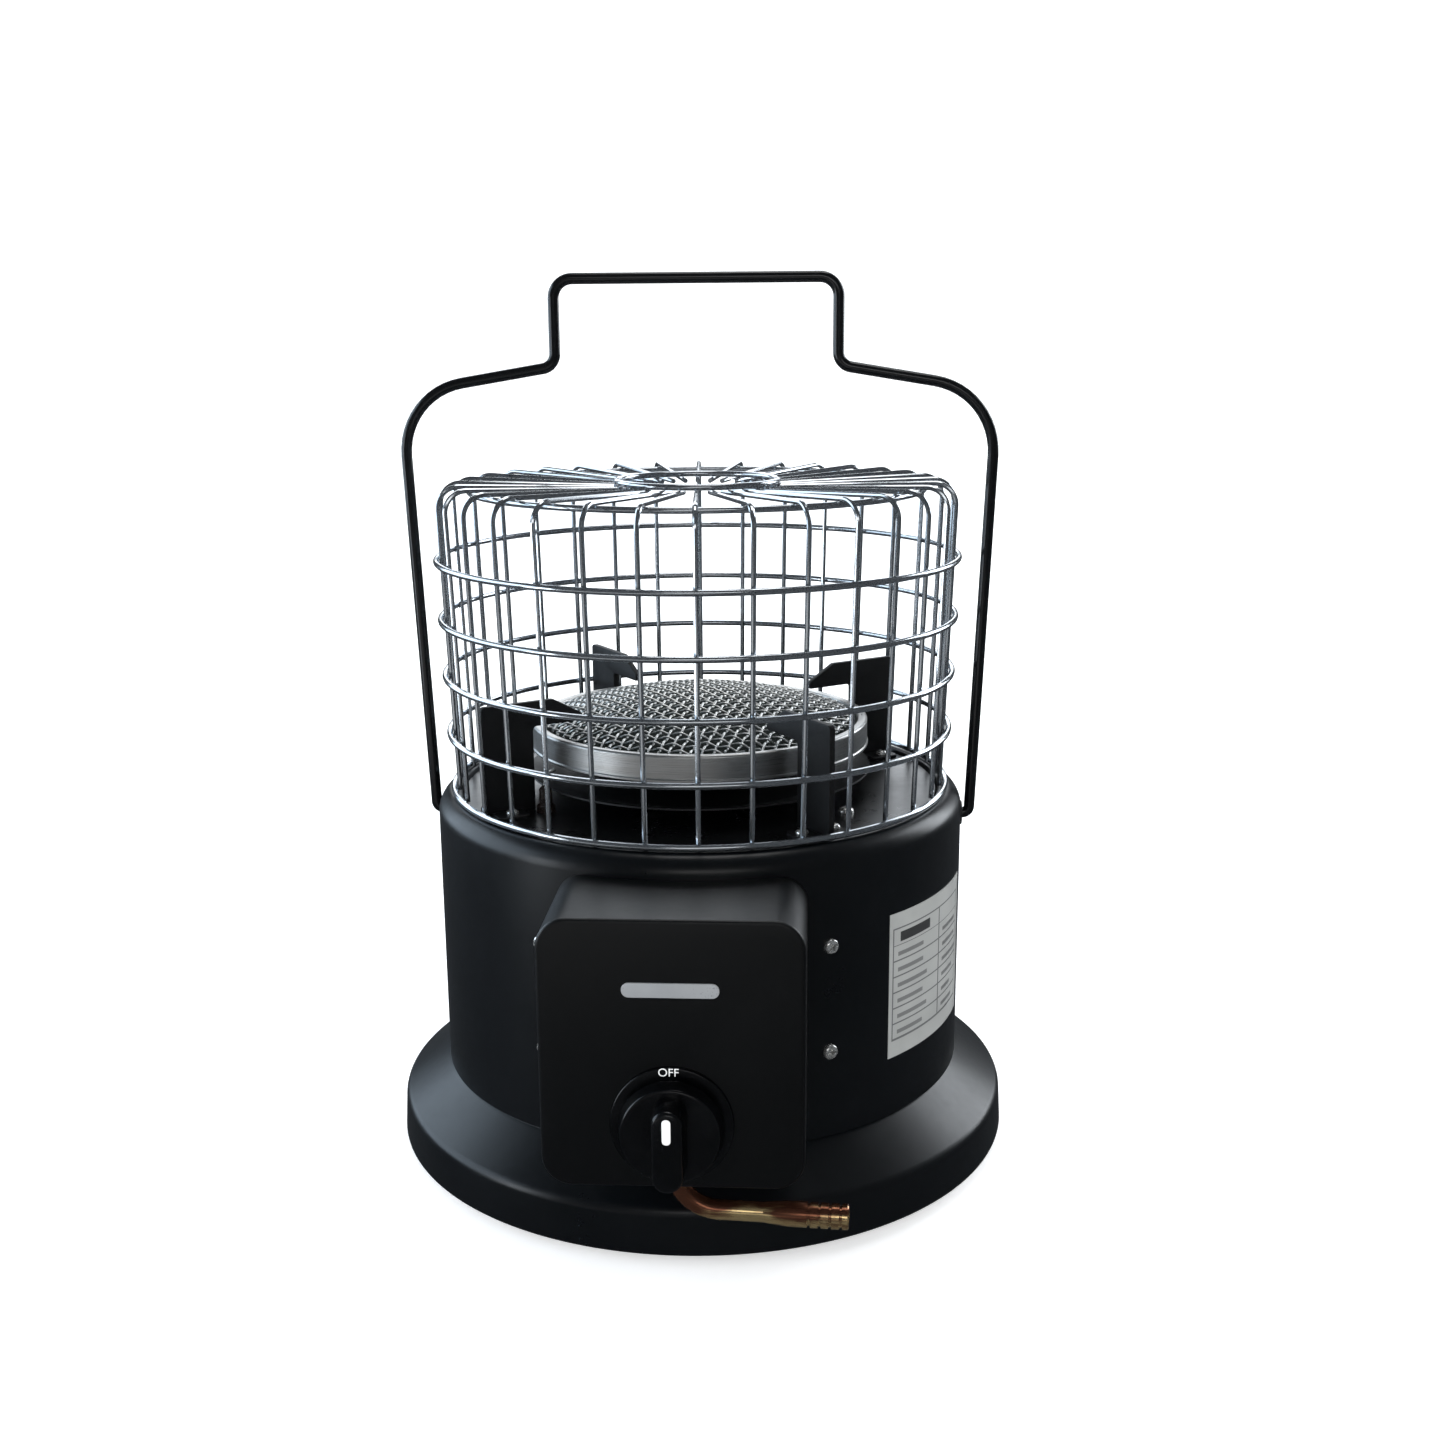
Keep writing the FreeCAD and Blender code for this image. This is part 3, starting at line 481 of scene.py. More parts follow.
def roundFront(name, finish, low, high, corner, edge, steps, front, back):
    # a block with a rounded rectangle as its face and a rounded front edge; steps are for edge and corner
    sections = [roundedRect(high.x - low.x - 2 * inset, low.z + inset, high.z - inset, corner - inset,
                            front + depth, steps[1]) for inset, depth in quarterRound(edge, steps[0])]
    sections.append(roundedRect(high.x - low.x, low.z, high.z, corner, back, steps[1]))
    return loft(name, sections, finish)


def evaluated(name, carrier, finish, smooth=30.0):
    # the modifiers' result as a plain mesh; the carrier goes
    graph = bpy.context.evaluated_depsgraph_get()
    graph.update()
    mesh = bpy.data.meshes.new_from_object(carrier.evaluated_get(graph))
    mesh.name = name
    bpy.data.objects.remove(carrier)
    return meshObject(name, mesh, finish, smooth)


def cutAway(piece, cutters, name, finish, smooth=30.0):
    for cutter in cutters:
        change = piece.modifiers.new("cut", "BOOLEAN")
        change.operation = "DIFFERENCE"
        change.solver = "EXACT"
        change.object = cutter
    result = evaluated(name, piece, finish, smooth)
    for cutter in cutters:
        bpy.data.objects.remove(cutter)
    return result


def cylinderBetween(name, start, end, radius, around=48):
    direction = Vector(end) - Vector(start)
    shape = bmesh.new()
    bmesh.ops.create_cone(shape, cap_ends=True, segments=around, radius1=radius, radius2=radius,
                          depth=direction.length)
    turn = direction.to_track_quat("Z", "Y").to_matrix().to_4x4()
    bmesh.ops.transform(shape, matrix=Matrix.Translation((Vector(start) + Vector(end)) / 2) @ turn,
                        verts=shape.verts)
    return fromBmesh(name, shape, "platedSteel")


def join(name, pieces, finish, smooth=30.0):
    shape = bmesh.new()
    for piece in pieces:
        shape.from_mesh(piece.data)
        bpy.data.objects.remove(piece)
    mesh = bpy.data.meshes.new(name)
    shape.to_mesh(mesh)
    shape.free()
    return meshObject(name, mesh, finish, smooth)


def settle(piece, body, slot, *replaced):
    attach(piece, body)
    if replaced:
        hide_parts(*replaced)
    return piece


def polar(radius, azimuth, height=0.0):
    angle = math.radians(azimuth)
    return Vector((radius * math.sin(angle), -radius * math.cos(angle), height))


def middle(node):
    low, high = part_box(node)
    return (low + high) / 2


def outer(node):
    # largest distance from the axis that a node reaches
    return max(math.hypot(vertex.co.x, vertex.co.y) for vertex in nodes[node].data.vertices)


# Geometry Nodes

def newTree(name, inputs):
    tree = bpy.data.node_groups.new(name, "GeometryNodeTree")
    tree.interface.new_socket("Geometry", in_out="INPUT", socket_type="NodeSocketGeometry")
    for label, kind in inputs.items():
        tree.interface.new_socket(label, in_out="INPUT", socket_type="NodeSocket" + kind)
    tree.interface.new_socket("Geometry", in_out="OUTPUT", socket_type="NodeSocketGeometry")
    graph = Graph(tree)
    start = graph.make("NodeGroupInput")
    return graph, start


def closeTree(graph, start, shape):
    solid = graph.geometry("RealizeInstances", {"Geometry": shape})
    painted = graph.geometry("SetMaterial", {"Geometry": solid, "Material": start.pick("Finish")})
    graph.make("NodeGroupOutput", {}, {"Geometry": painted})
    return graph.tree


def runTree(name, tree, carrier, values, finish, smooth=30.0):
    change = carrier.modifiers.new(tree.name, "NODES")
    change.node_group = tree
    for item in tree.interface.items_tree:
        if item.in_out == "INPUT" and item.name in values:
            change[item.identifier] = values[item.name]
        elif item.in_out == "INPUT" and item.name == "Finish":
            change[item.identifier] = finishes[finish]
    return evaluated(name, carrier, finish, smooth)


def pointCarrier(name, points, edges=(), **attributes):
    mesh = bpy.data.meshes.new(name)
    mesh.from_pydata([tuple(point) for point in points], list(edges), [])
    for label, values in attributes.items():
        kind = "FLOAT_VECTOR" if isinstance(values[0], Vector) else "FLOAT"
        attribute = mesh.attributes.new(label, kind, "POINT")
        if kind == "FLOAT":
            attribute.data.foreach_set("value", values)
        else:
            attribute.data.foreach_set("vector", [part for value in values for part in value])
    carrier = bpy.data.objects.new(name, mesh)
    bpy.context.scene.collection.objects.link(carrier)
    return carrier


def makeBentWireTree():
    # a polyline with a bend radius at each point becomes round wire, copied round the axis
    graph, start = newTree("bentWire", {"Diameter": "Float", "Copies": "Int", "First Turn": "Float",
                                        "Sides": "Int", "Finish": "Material"})
    bend = graph.attribute("bend")
    line = graph.geometry("MeshToCurve", {"Mesh": start.pick("Geometry")})
    line = graph.geometry("FilletCurve", {"Curve": line, "Count": 12, "Radius": bend}, {"mode": "POLY"})
    ring = graph.circle(start.pick("Sides"), start.pick("Diameter"))
    wire = graph.geometry("CurveToMesh", {"Curve": line, "Profile Curve": ring, "Fill Caps": True})
    spots = graph.geometry("Points", {"Count": start.pick("Copies")})
    index = graph.geometry("InputIndex")
    turn = start.pick("First Turn") + index * (2 * math.pi) / start.pick("Copies")
    facing = graph.vector(Z=turn)
    copies = graph.geometry("InstanceOnPoints", {"Points": spots, "Instance": wire, "Rotation": facing})
    return closeTree(graph, start, copies)


def makeRingTree():
    # one wire ring at each point, as wide as the point's reach
    graph, start = newTree("wireRings", {"Diameter": "Float", "Finish": "Material"})
    reach = graph.attribute("reach")
    hoop = graph.geometry("CurvePrimitiveCircle", {"Resolution": 192, "Radius": 1.0})
    hoops = graph.geometry("InstanceOnPoints", {"Points": start.pick("Geometry"), "Instance": hoop,
                        "Scale": graph.vector(X=reach, Y=reach, Z=1.0)})
    hoops = graph.geometry("RealizeInstances", {"Geometry": hoops})
    section = graph.circle(12, start.pick("Diameter"))
    rings = graph.geometry("CurveToMesh", {"Curve": hoops, "Profile Curve": section})
    return closeTree(graph, start, rings)


def makeFastenerTree():
    # copies of one fastener stand at the points, along each point's facing, turned by a seeded angle
    graph, start = newTree("fasteners", {"Fastener": "Object", "Seed": "Int", "Finish": "Material"})
    facing = graph.attribute("facing", "FLOAT_VECTOR")
    shape = graph.geometry("ObjectInfo", {"Object": start.pick("Fastener")}).pick("Geometry")
    stand = graph.make("FunctionNodeAlignRotationToVector", {"axis": "Z"}, {"Vector": facing})
    spin = graph.make("FunctionNodeRandomValue", {"data_type": "FLOAT"},
                      {2: 0.0, 3: 2 * math.pi, "Seed": start.pick("Seed")})
    spin = Field(graph, spin.socket.node.outputs[1])
    twist = graph.make("FunctionNodeAxisAngleToRotation", {}, {"Axis": (0.0, 0.0, 1.0), "Angle": spin})
    turned = graph.make("FunctionNodeRotateRotation", {"rotation_space": "LOCAL"},
                        {"Rotation": stand, "Rotate By": twist})
    copies = graph.geometry("InstanceOnPoints",
                            {"Points": start.pick("Geometry"), "Instance": shape, "Rotation": turned})
    return closeTree(graph, start, copies)


def makeWeaveTree():
    # crimped wires laid side by side both ways over a dome and cut to a disc
    graph, start = newTree("wovenDome", {"Reach": "Float", "Rise": "Float", "Base": "Float", "Pitch": "Float",
                                         "Crimp": "Float", "Wire": "Float", "Turn": "Float",
                                         "Finish": "Material"})
    reach, pitch = start.pick("Reach"), start.pick("Pitch")
    rows = (reach / pitch).calc("FLOOR")
    layers = []
    for way in (0, 1):
        count = rows * 2.0 + 1.0
        index = graph.geometry("InputIndex")
        offset = (index - rows) * pitch
        spots = graph.geometry("Points", {"Count": count, "Position": graph.vector(Y=offset)})
        parity = ((index * 0.5 + way * 0.5).calc("FRACT") * 4.0) - 1.0
        spots = graph.make("GeometryNodeStoreNamedAttribute", {"data_type": "FLOAT", "domain": "POINT"},
                           {"Geometry": spots, "Name": "side", "Value": parity})
        straight = graph.geometry("CurvePrimitiveLine", {"Start": graph.vector(X=reach * -1.0),
                               "End": graph.vector(X=reach)})
        straight = graph.geometry("ResampleCurve", {"Curve": straight, "Count": rows * 12.0})
        lines = graph.geometry("InstanceOnPoints", {"Points": spots, "Instance": straight})
        lines = graph.geometry("RealizeInstances", {"Geometry": lines})
        x, y = graph.axes(graph.geometry("InputPosition"))[:2]
        side = graph.attribute("side")
        wave = (x * math.pi / pitch).calc("COSINE") * side * start.pick("Crimp")
        out = x * x + y * y
        dome = start.pick("Rise") * (1.0 - out / (reach * reach)) + start.pick("Base")
        crimped = graph.vector(X=x, Y=y, Z=dome + wave)
        lines = graph.geometry("SetPosition", {"Geometry": lines, "Position": crimped})
        lines = graph.make("GeometryNodeDeleteGeometry", {"domain": "POINT"},
                           {"Geometry": lines, "Selection": out.above(reach * reach)})
        angle = start.pick("Turn") + way * math.pi / 2
        lines = graph.geometry("Transform", {"Geometry": lines, "Rotation": graph.vector(Z=angle)})
        layers.append(lines)
    both = graph.geometry("JoinGeometry", {"Geometry": layers[0]})
    graph.feed(both.socket.node.inputs["Geometry"], layers[1])
    section = graph.circle(6, start.pick("Wire"))
    cloth = graph.geometry("CurveToMesh", {"Curve": both, "Profile Curve": section, "Fill Caps": True})
    return closeTree(graph, start, cloth)


bentWireTree = makeBentWireTree()
ringTree = makeRingTree()
fastenerTree = makeFastenerTree()
weaveTree = makeWeaveTree()


def bentWire(name, points, bends, diameter, finish, copies=1, firstTurn=0.0, sides=14):
    links = [(index, index + 1) for index in range(len(points) - 1)]
    carrier = pointCarrier(name + "Line", points, links, bend=[0.0] + list(bends) + [0.0])
    values = {"Diameter": diameter, "Copies": copies, "First Turn": firstTurn, "Sides": sides}
    return runTree(name, bentWireTree, carrier, values, finish)


# Drum and base

drumShape = fromMm(sheet=1.0, shoulder=9.7, lipInner=119.0, wellWall=117.6, flangeInner=98.0, pivotHole=4.5,
                   wellBends=[1.6, 0.9], windowWide=70, windowLevels=[60, 158], windowCorner=8,
                   windowDepths=[-136, -100])
skirtShape = fromMm(sheet=1.0, hemInner=145.0, draft=1.2, seam=0.1, knee=26.2, top=43.0,
                    bends=[2.0, 6.0, 1.2])


def makeDrum():
    low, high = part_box("drum")
    radius = outer("drum")
    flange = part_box("top_plate")[0].z
    pivot = middle("pivot_bush_right")
    outline = sheetOutline([(radius, low.z), (radius, high.z), (drumShape["lipInner"], high.z),
                            (drumShape["wellWall"], flange), (drumShape["flangeInner"], flange)],
                           [drumShape["shoulder"], *drumShape["wellBends"]], drumShape["sheet"])
    shell = spinOutline("drumBlank", outline, "drumEnamel", 224)
    window = loft("window", [roundedRect(drumShape["windowWide"], *drumShape["windowLevels"],
                                         drumShape["windowCorner"], y) for y in drumShape["windowDepths"]],
                  "drumEnamel")
    hole = cylinderBetween("pivotHole", (-0.2, 0, pivot.z), (0.2, 0, pivot.z), drumShape["pivotHole"])
    return settle(cutAway(shell, [window, hole], "drumShell", "drumEnamel"), "base", "drum_paint", "drum")


def makeSkirt():
    low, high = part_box("base_skirt")
    radius = outer("base_skirt")
    collar = outer("drum") - drumShape["sheet"] - skirtShape["seam"]
    outline = sheetOutline([(skirtShape["hemInner"], low.z), (radius, low.z),
                            (radius - skirtShape["draft"], skirtShape["knee"]),
                            (collar, skirtShape["top"]), (collar, high.z)],
                           skirtShape["bends"], skirtShape["sheet"])
    return settle(spinOutline("flaredBase", outline, "drumEnamel", 224), "base", "drum_paint", "base_skirt")


makeDrum()
makeSkirt()
print("drum and base made")


# Burner

burnerShape = fromMm(lip=5.0, bandSheet=0.8, bead=0.5, bowlSheet=1.2, neck=16.2, hem=1.6,
                     beadLevels=[0.1, 1.2, 1.8], curl=0.6, curlDrop=0.4, lipDrop=2.1,
                     bandBends=[0.3, 0.3, 0.3, 1.4, 0.9],
                     neckHigh=17.6, knee=58.0, kneeHigh=21.0, wall=79.0, rim=79.6, rimDeep=4.0,
                     bowlBends=[4.0, 14.0, 3.0, 0.6], plateEdge=0.7)
saucerShape = fromMm(lift=5.3, rise=4.2, hole=16.6, flat=68.0, bend=18.0, sheet=0.8, post=3.0, postReach=45,
                     postSink=0.4)
weaveShape = {**fromMm(pitch=4.9, wire=1.02, crimp=0.62, inset=0.4), "turn": math.radians(-14.0)}


def makeBand():
    low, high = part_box("burner_ring")
    radius = outer("burner_ring")
    inner = radius - burnerShape["lip"]
    bead = radius + burnerShape["bead"]
    start, swell, turn = burnerShape["beadLevels"]
    outline = sheetOutline([(radius - burnerShape["hem"], low.z), (bead, low.z + start),
                            (bead, low.z + swell), (radius, low.z + turn), (radius, high.z),
                            (inner + burnerShape["curl"], high.z - burnerShape["curlDrop"]),
                            (inner, high.z - burnerShape["lipDrop"])],
                           burnerShape["bandBends"], burnerShape["bandSheet"])
    return settle(spinOutline("burnerBand", outline, "brushedBand"), "base", "brushed_steel", "burner_ring")


def makeBowl():
    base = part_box("burner_bowl")[0].z
    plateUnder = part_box("ceramic_plate")[0].z - burnerShape["bowlSheet"]
    neck, knee, wall, rim = (burnerShape[key] for key in ("neck", "knee", "wall", "rim"))
    outline = sheetOutline([(neck, base), (neck, base + burnerShape["neckHigh"]),
                            (knee, base + burnerShape["kneeHigh"]),
                            (wall, plateUnder - burnerShape["rimDeep"]),
                            (rim, plateUnder), (outer("burner_bowl"), plateUnder)],
                           burnerShape["bowlBends"], burnerShape["bowlSheet"])
    return settle(spinOutline("gasBowl", outline, "stoveBlack"), "base", "heat_black", "burner_bowl")


def makeShield():
    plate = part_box("top_plate")[1].z
    level = plate + saucerShape["lift"]
    outline = sheetOutline([(saucerShape["hole"], level), (saucerShape["flat"], level),
                            (outer("heat_shield"), level + saucerShape["rise"])],
                           [saucerShape["bend"]], saucerShape["sheet"])
    saucer = spinOutline("saucer", outline, "stoveBlack")
    reach, top = saucerShape["postReach"], level + saucerShape["postSink"]
    posts = [cylinderBetween("post", polar(reach, 60 * step, plate), polar(reach, 60 * step, top),
                             saucerShape["post"], 24) for step in range(6)]
    return settle(join("heatShield", [saucer] + posts, "stoveBlack"), "base", "heat_black", "heat_shield")


def makeCeramic():
    low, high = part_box("ceramic_plate")
    radius = outer("ceramic_plate")
    edge = burnerShape["plateEdge"]
    outline = [Vector((0.0, low.z)), Vector((radius, low.z)), Vector((radius, high.z - edge)),
               Vector((radius - edge, high.z)), Vector((0.0, high.z))]
    return settle(spinOutline("ceramicPlate", outline, "ceramic", 128), "base", "ceramic", "ceramic_plate")


def makeWeave():
    low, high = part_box("mesh_dome")
    reach = outer("mesh_dome") - weaveShape["inset"]
    lift = weaveShape["crimp"] + weaveShape["wire"] / 2
    carrier = pointCarrier("weaveSeed", [(0, 0, 0)])
    values = {"Reach": reach, "Rise": high.z - low.z - 2 * lift, "Base": low.z + lift,
              "Pitch": weaveShape["pitch"], "Crimp": weaveShape["crimp"], "Wire": weaveShape["wire"],
              "Turn": weaveShape["turn"]}
    cloth = runTree("wovenDome", weaveTree, carrier, values, "wovenWire", 60.0)
    return settle(cloth, "base", "mesh_wire", "mesh_dome")


makeBand()
makeBowl()
makeShield()
makeCeramic()
makeWeave()
print("burner made")


# Pot supports

supportAzimuths = [34.0, 124.0, 214.0, 304.0]
supportShape = fromMm(thickness=3.0, tipDrop=8.5, armDepth=12.0, slope=15.0, footWide=26.0, footDeep=16.0,
                      footSheet=1.5, footCentre=106.0, screwAside=8.5, reach=117.0, inner=91.0, tip=65.0,
                      bends=[0.0, 2.0, 3.0, 2.2, 0.8, 2.0, 0.0], edge=0.45, footCorner=3.0)


def makeSupport(index):
    node = "pot_support_%d" % index
    low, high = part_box(node)
    reach, inner, tip = supportShape["reach"], supportShape["inner"], supportShape["tip"]
    top, base = high.z, low.z
    corners = [(inner, base), (reach, base), (reach, top), (tip + supportShape["slope"], top),
               (tip, top - supportShape["tipDrop"]), (tip, top - supportShape["armDepth"]),
               (inner, top - supportShape["armDepth"])]
    loop = arcPath(corners + corners[:2], supportShape["bends"], 6)[1:-1]
    half = supportShape["thickness"] / 2
    shape = bmesh.new()
    face = shape.faces.new([shape.verts.new((point.x, -half, point.y)) for point in loop])
    grown = bmesh.ops.extrude_face_region(shape, geom=[face])
    moved = [item for item in grown["geom"] if isinstance(item, bmesh.types.BMVert)]
    bmesh.ops.translate(shape, vec=(0, 2 * half, 0), verts=moved)
    plate = fromBmesh("plateBlank", shape, "stoveBlack")
    soften = plate.modifiers.new("edge", "BEVEL")
    soften.width = supportShape["edge"]
    soften.segments = 3
    plate = evaluated("plate", plate, "stoveBlack")
    centre, sheet = supportShape["footCentre"], supportShape["footSheet"]
    wide = supportShape["footWide"] / 2
    outline = roundedRect(supportShape["footDeep"], -wide, wide, supportShape["footCorner"], 0.0)
    sections = [[Vector((centre + point.x * scale, point.z * scale, base + height))
                 for point in outline] for height, scale in ((0, 1), (sheet * 0.8, 1), (sheet, 0.97))]
    foot = loft("foot", sections, "stoveBlack")
    piece = join("potSupport%d" % index, [plate, foot], "stoveBlack")
    azimuth = supportAzimuths[index - 1]
    piece.data.transform(Matrix.Rotation(math.radians(azimuth - 90.0), 4, "Z"))
    return settle(piece, "base", "heat_black", node)


for index in range(1, 5):
    makeSupport(index)
print("pot supports made")


# Wire guard

guardHoops = ["guard_ring_%d" % step for step in range(1, 6)] + ["guard_small_ring", "guard_under_ring"]
guardShape = {**fromMm(wire=2.4, ring=3.0, bend=10.0, innerEnd=31.5, corner=329.4, dip=2.9), "copies": 32,
                       "firstAzimuth": 3.7}


def makeGuard():
    wire, ring = guardShape["wire"], guardShape["ring"]
    inset = (wire + ring) / 2
    hoops = []
    for node in guardHoops:
        low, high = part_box(node)
        hoops.append((outer(node) - ring / 2, (low.z + high.z) / 2))
    lowest, highest = hoops[0], hoops[4]
    growth = (highest[0] - lowest[0]) / (highest[1] - lowest[1])
    cornerReach = lowest[0] + growth * (guardShape["corner"] - lowest[1]) - inset
    points = [(lowest[0] - inset, 0, lowest[1]), (cornerReach, 0, guardShape["corner"]),
              (guardShape["innerEnd"], 0, guardShape["corner"] - guardShape["dip"])]
    turn = math.radians(guardShape["firstAzimuth"] - 90.0)
    wires = bentWire("guardWires", points, [guardShape["bend"]], wire, "guardChrome",
                     guardShape["copies"], turn, 10)
    settle(wires, "guard", "guard_wire", "guard_wires")
    carrier = pointCarrier("hoopSeeds", [(0, 0, height) for reach, height in hoops],
                           reach=[reach for reach, height in hoops])
    rings = runTree("guardRings", ringTree, carrier, {"Diameter": ring}, "guardChrome")
    settle(rings, "guard", "guard_wire", *guardHoops)


makeGuard()
print("guard made")


# Handle

handleShape = fromMm(wire=5.3, inEnd=119.0, foot=134.5, wide=142.5, shoulder=371.0, neck=67.5,
                     neckLow=383.5, bends=[3.4, 34.0, 7.0, 9.0])


def makeHandle():
    pivot = middle("pivot_bush_right").z
    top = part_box("handle")[1].z - handleShape["wire"] / 2
    half = [(handleShape["inEnd"], 0, pivot), (handleShape["foot"], 0, pivot),
            (handleShape["wide"], 0, handleShape["shoulder"]),
            (handleShape["neck"], 0, handleShape["neckLow"]), (handleShape["neck"], 0, top)]
    other = [(-x, y, z) for x, y, z in reversed(half)]
    bends = handleShape["bends"]
    bail = bentWire("bailHandle", half + other, bends + bends[::-1], handleShape["wire"], "handleGloss",
                    sides=20)
    return settle(bail, "handle", "handle_gloss", "handle")


makeHandle()
print("handle made")


# Control box, nameplate and label

nameplateShape = fromMm(edge=0.35, flat=0.15)
labelShape = {**fromMm(faces=[0.02, 0.25]), "start": 45, "sweep": 33}
boxShape = fromMm(corner=13.0, sheet=1.5, edge=1.6, stemHole=7.0, back=-90, hollowBack=-80)


def makeBox():
    low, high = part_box("control_box")
    corner, sheet = boxShape["corner"], boxShape["sheet"]
    block = roundFront("boxBlank", "boxCoat", low, high, corner, boxShape["edge"], (5, 12), low.y,
                       boxShape["back"])
    inner = (high.x - low.x - 2 * sheet, low.z + sheet, high.z - sheet, corner - sheet)
    hollow = loft("hollow", [roundedRect(*inner, y, 12) for y in (low.y + sheet, boxShape["hollowBack"])],
                  "boxCoat")
    core = cylinderBetween("core", (0, 0, 0), (0, 0, 0.3), outer("drum"), 224)
    level = middle("knob_bezel").z
    stem = cylinderBetween("stemHole", (0, -0.2, level), (0, -0.17, level), boxShape["stemHole"])
    cover = cutAway(block, [hollow, core, stem], "boxCover", "boxCoat")
    return settle(cover, "base", "box_paint", "control_box")


def makeNameplate():
    low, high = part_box("nameplate")
    corner = (high.z - low.z) / 2 - nameplateShape["flat"]
    plate = roundFront("blankNameplate", "plateSatin", low, high, corner, nameplateShape["edge"], (4, 10),
                       low.y, high.y)
    return settle(plate, "base", "silver_plate", "nameplate")


def makeLabel():
    low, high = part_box("data_label")
    radius = outer("drum")
    across, tall = 24, 2
    start, sweep = labelShape["start"], labelShape["sweep"]
    shape = bmesh.new()
    uv = shape.loops.layers.uv.new("labelMap")
    for depth in labelShape["faces"]:
        grid = [[shape.verts.new(polar(radius + depth, start + sweep * column / across,
                                       low.z + (high.z - low.z) * row / tall))
                 for column in range(across + 1)] for row in range(tall + 1)]
        for row in range(tall):
            for column in range(across):
                face = shape.faces.new((grid[row][column], grid[row][column + 1],
                                        grid[row + 1][column + 1], grid[row + 1][column]))
                for loop, (u, v) in zip(face.loops, ((column, row), (column + 1, row),
                                                     (column + 1, row + 1), (column, row + 1))):
                    loop[uv].uv = (u / across, v / tall)
    bmesh.ops.bridge_loops(shape, edges=[edge for edge in shape.edges if edge.is_boundary])
    return settle(fromBmesh("dataLabel", shape, "labelFoil"), "base", "label_foil", "data_label")


makeBox()
makeNameplate()
makeLabel()
print("control box made")


# Knob

capitalShare = 0.70
knobShape = fromMm(barWide=14.5, barFront=12.6, barReach=17.8, barEdge=2.2, barBack=0.15, markHigh=3.5,
                   markReach=23.6, markAside=-1.0, dialDeep=5.9, dialTaper=1.8, dialEdges=[0.3, 1.2],
                   barSink=0.5, barFlat=0.2, bezelHole=7.0, bezelEdge=0.8, markProud=0.06, markLift=0.05,
                   indicatorEdge=0.3, indicatorFlat=0.1)


def turnedToFront(piece, depth, height, aside=0.0):
    # a piece made about Z is turned so that Z points to the front
    piece.data.transform(Matrix.Translation((aside, depth, height)) @ Matrix.Rotation(math.pi / 2, 4, "X"))
    return piece


def makeKnob():
    low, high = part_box("knob")
    centre = (low.z + high.z) / 2
    front, back = low.y, high.y
    radius = (high.x - low.x) / 2
    bezelLow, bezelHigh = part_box("knob_bezel")
    depth = knobShape["dialDeep"]
    small = radius - knobShape["dialTaper"]
    outline = arcPath([(0.0, 0.0), (radius, 0.0), (small, depth), (0.0, depth)], knobShape["dialEdges"], 6)
    dial = turnedToFront(spinOutline("dial", outline, "knobPlastic", 96), back, centre)
    sections = [(front + knobShape["barBack"] + drop, inset, knobShape["barFront"])
                for inset, drop in quarterRound(knobShape["barEdge"], 5)]
    sections.append((back - depth + knobShape["barSink"], 0.0, knobShape["barWide"]))
    reach = knobShape["barReach"]
    rows = [roundedRect(wide - 2 * inset, centre - reach + inset, centre + reach - inset,
                        wide / 2 - knobShape["barFlat"] - inset, y, 10) for y, inset, wide in sections]
    bar = loft("bar", rows, "knobPlastic")
    settle(join("knobGrip", [dial, bar], "knobPlastic"), "knob", "knob_plastic", "knob")
    hole, rim, thick = knobShape["bezelHole"], (bezelHigh.x - bezelLow.x) / 2, bezelHigh.y - bezelLow.y
    disc = arcPath([(hole, 0.0), (rim, 0.0), (rim, thick), (hole, thick)], [0.0, knobShape["bezelEdge"]], 6)
    bezel = turnedToFront(spinOutline("knobBezel", disc, "knobPlastic", 96), bezelHigh.y, centre)
    settle(bezel, "base", "knob_plastic", "knob_bezel")
    makeOffMark(bezelLow.y, centre)


def makeOffMark(face, centre):
    letters = bpy.data.curves.new("offMark", "FONT")
    letters.body = "OFF"
    letters.size = knobShape["markHigh"] / capitalShare
    letters.align_x = "CENTER"
    letters.align_y = "CENTER"
    letters.extrude = knobShape["markProud"]
    holder = bpy.data.objects.new("offMarkText", letters)
    bpy.context.scene.collection.objects.link(holder)
    mark = evaluated("offMark", holder, "whiteMark")
    turnedToFront(mark, face - knobShape["markLift"], centre + knobShape["markReach"], knobShape["markAside"])
    settle(mark, "base", "white_mark")


def makeIndicator():
    low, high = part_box("knob_indicator")
    corner = (high.x - low.x) / 2 - knobShape["indicatorFlat"]
    line = roundFront("indicatorLine", "whiteMark", low, high, corner, knobShape["indicatorEdge"], (3, 8),
                      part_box("knob")[0].y, high.y)
    return settle(line, "knob", "white_mark", "knob_indicator")


makeKnob()
makeIndicator()
print("knob made")


# Hose nozzle

nozzleShape = {**fromMm(pipe=8.6, crest=10.8, bore=5.0, ribbed=26.0, groove=1.3, grooveDeep=0.8,
                        spacing=4.5, taper=10.0, bend=18.6, reach=74.0, level=36.0, x=-0.5, y=-165.0,
                        endPlain=4.0, grooveSide=0.2, endEdge=0.5), "grooves": 4, "turn": 4.0}


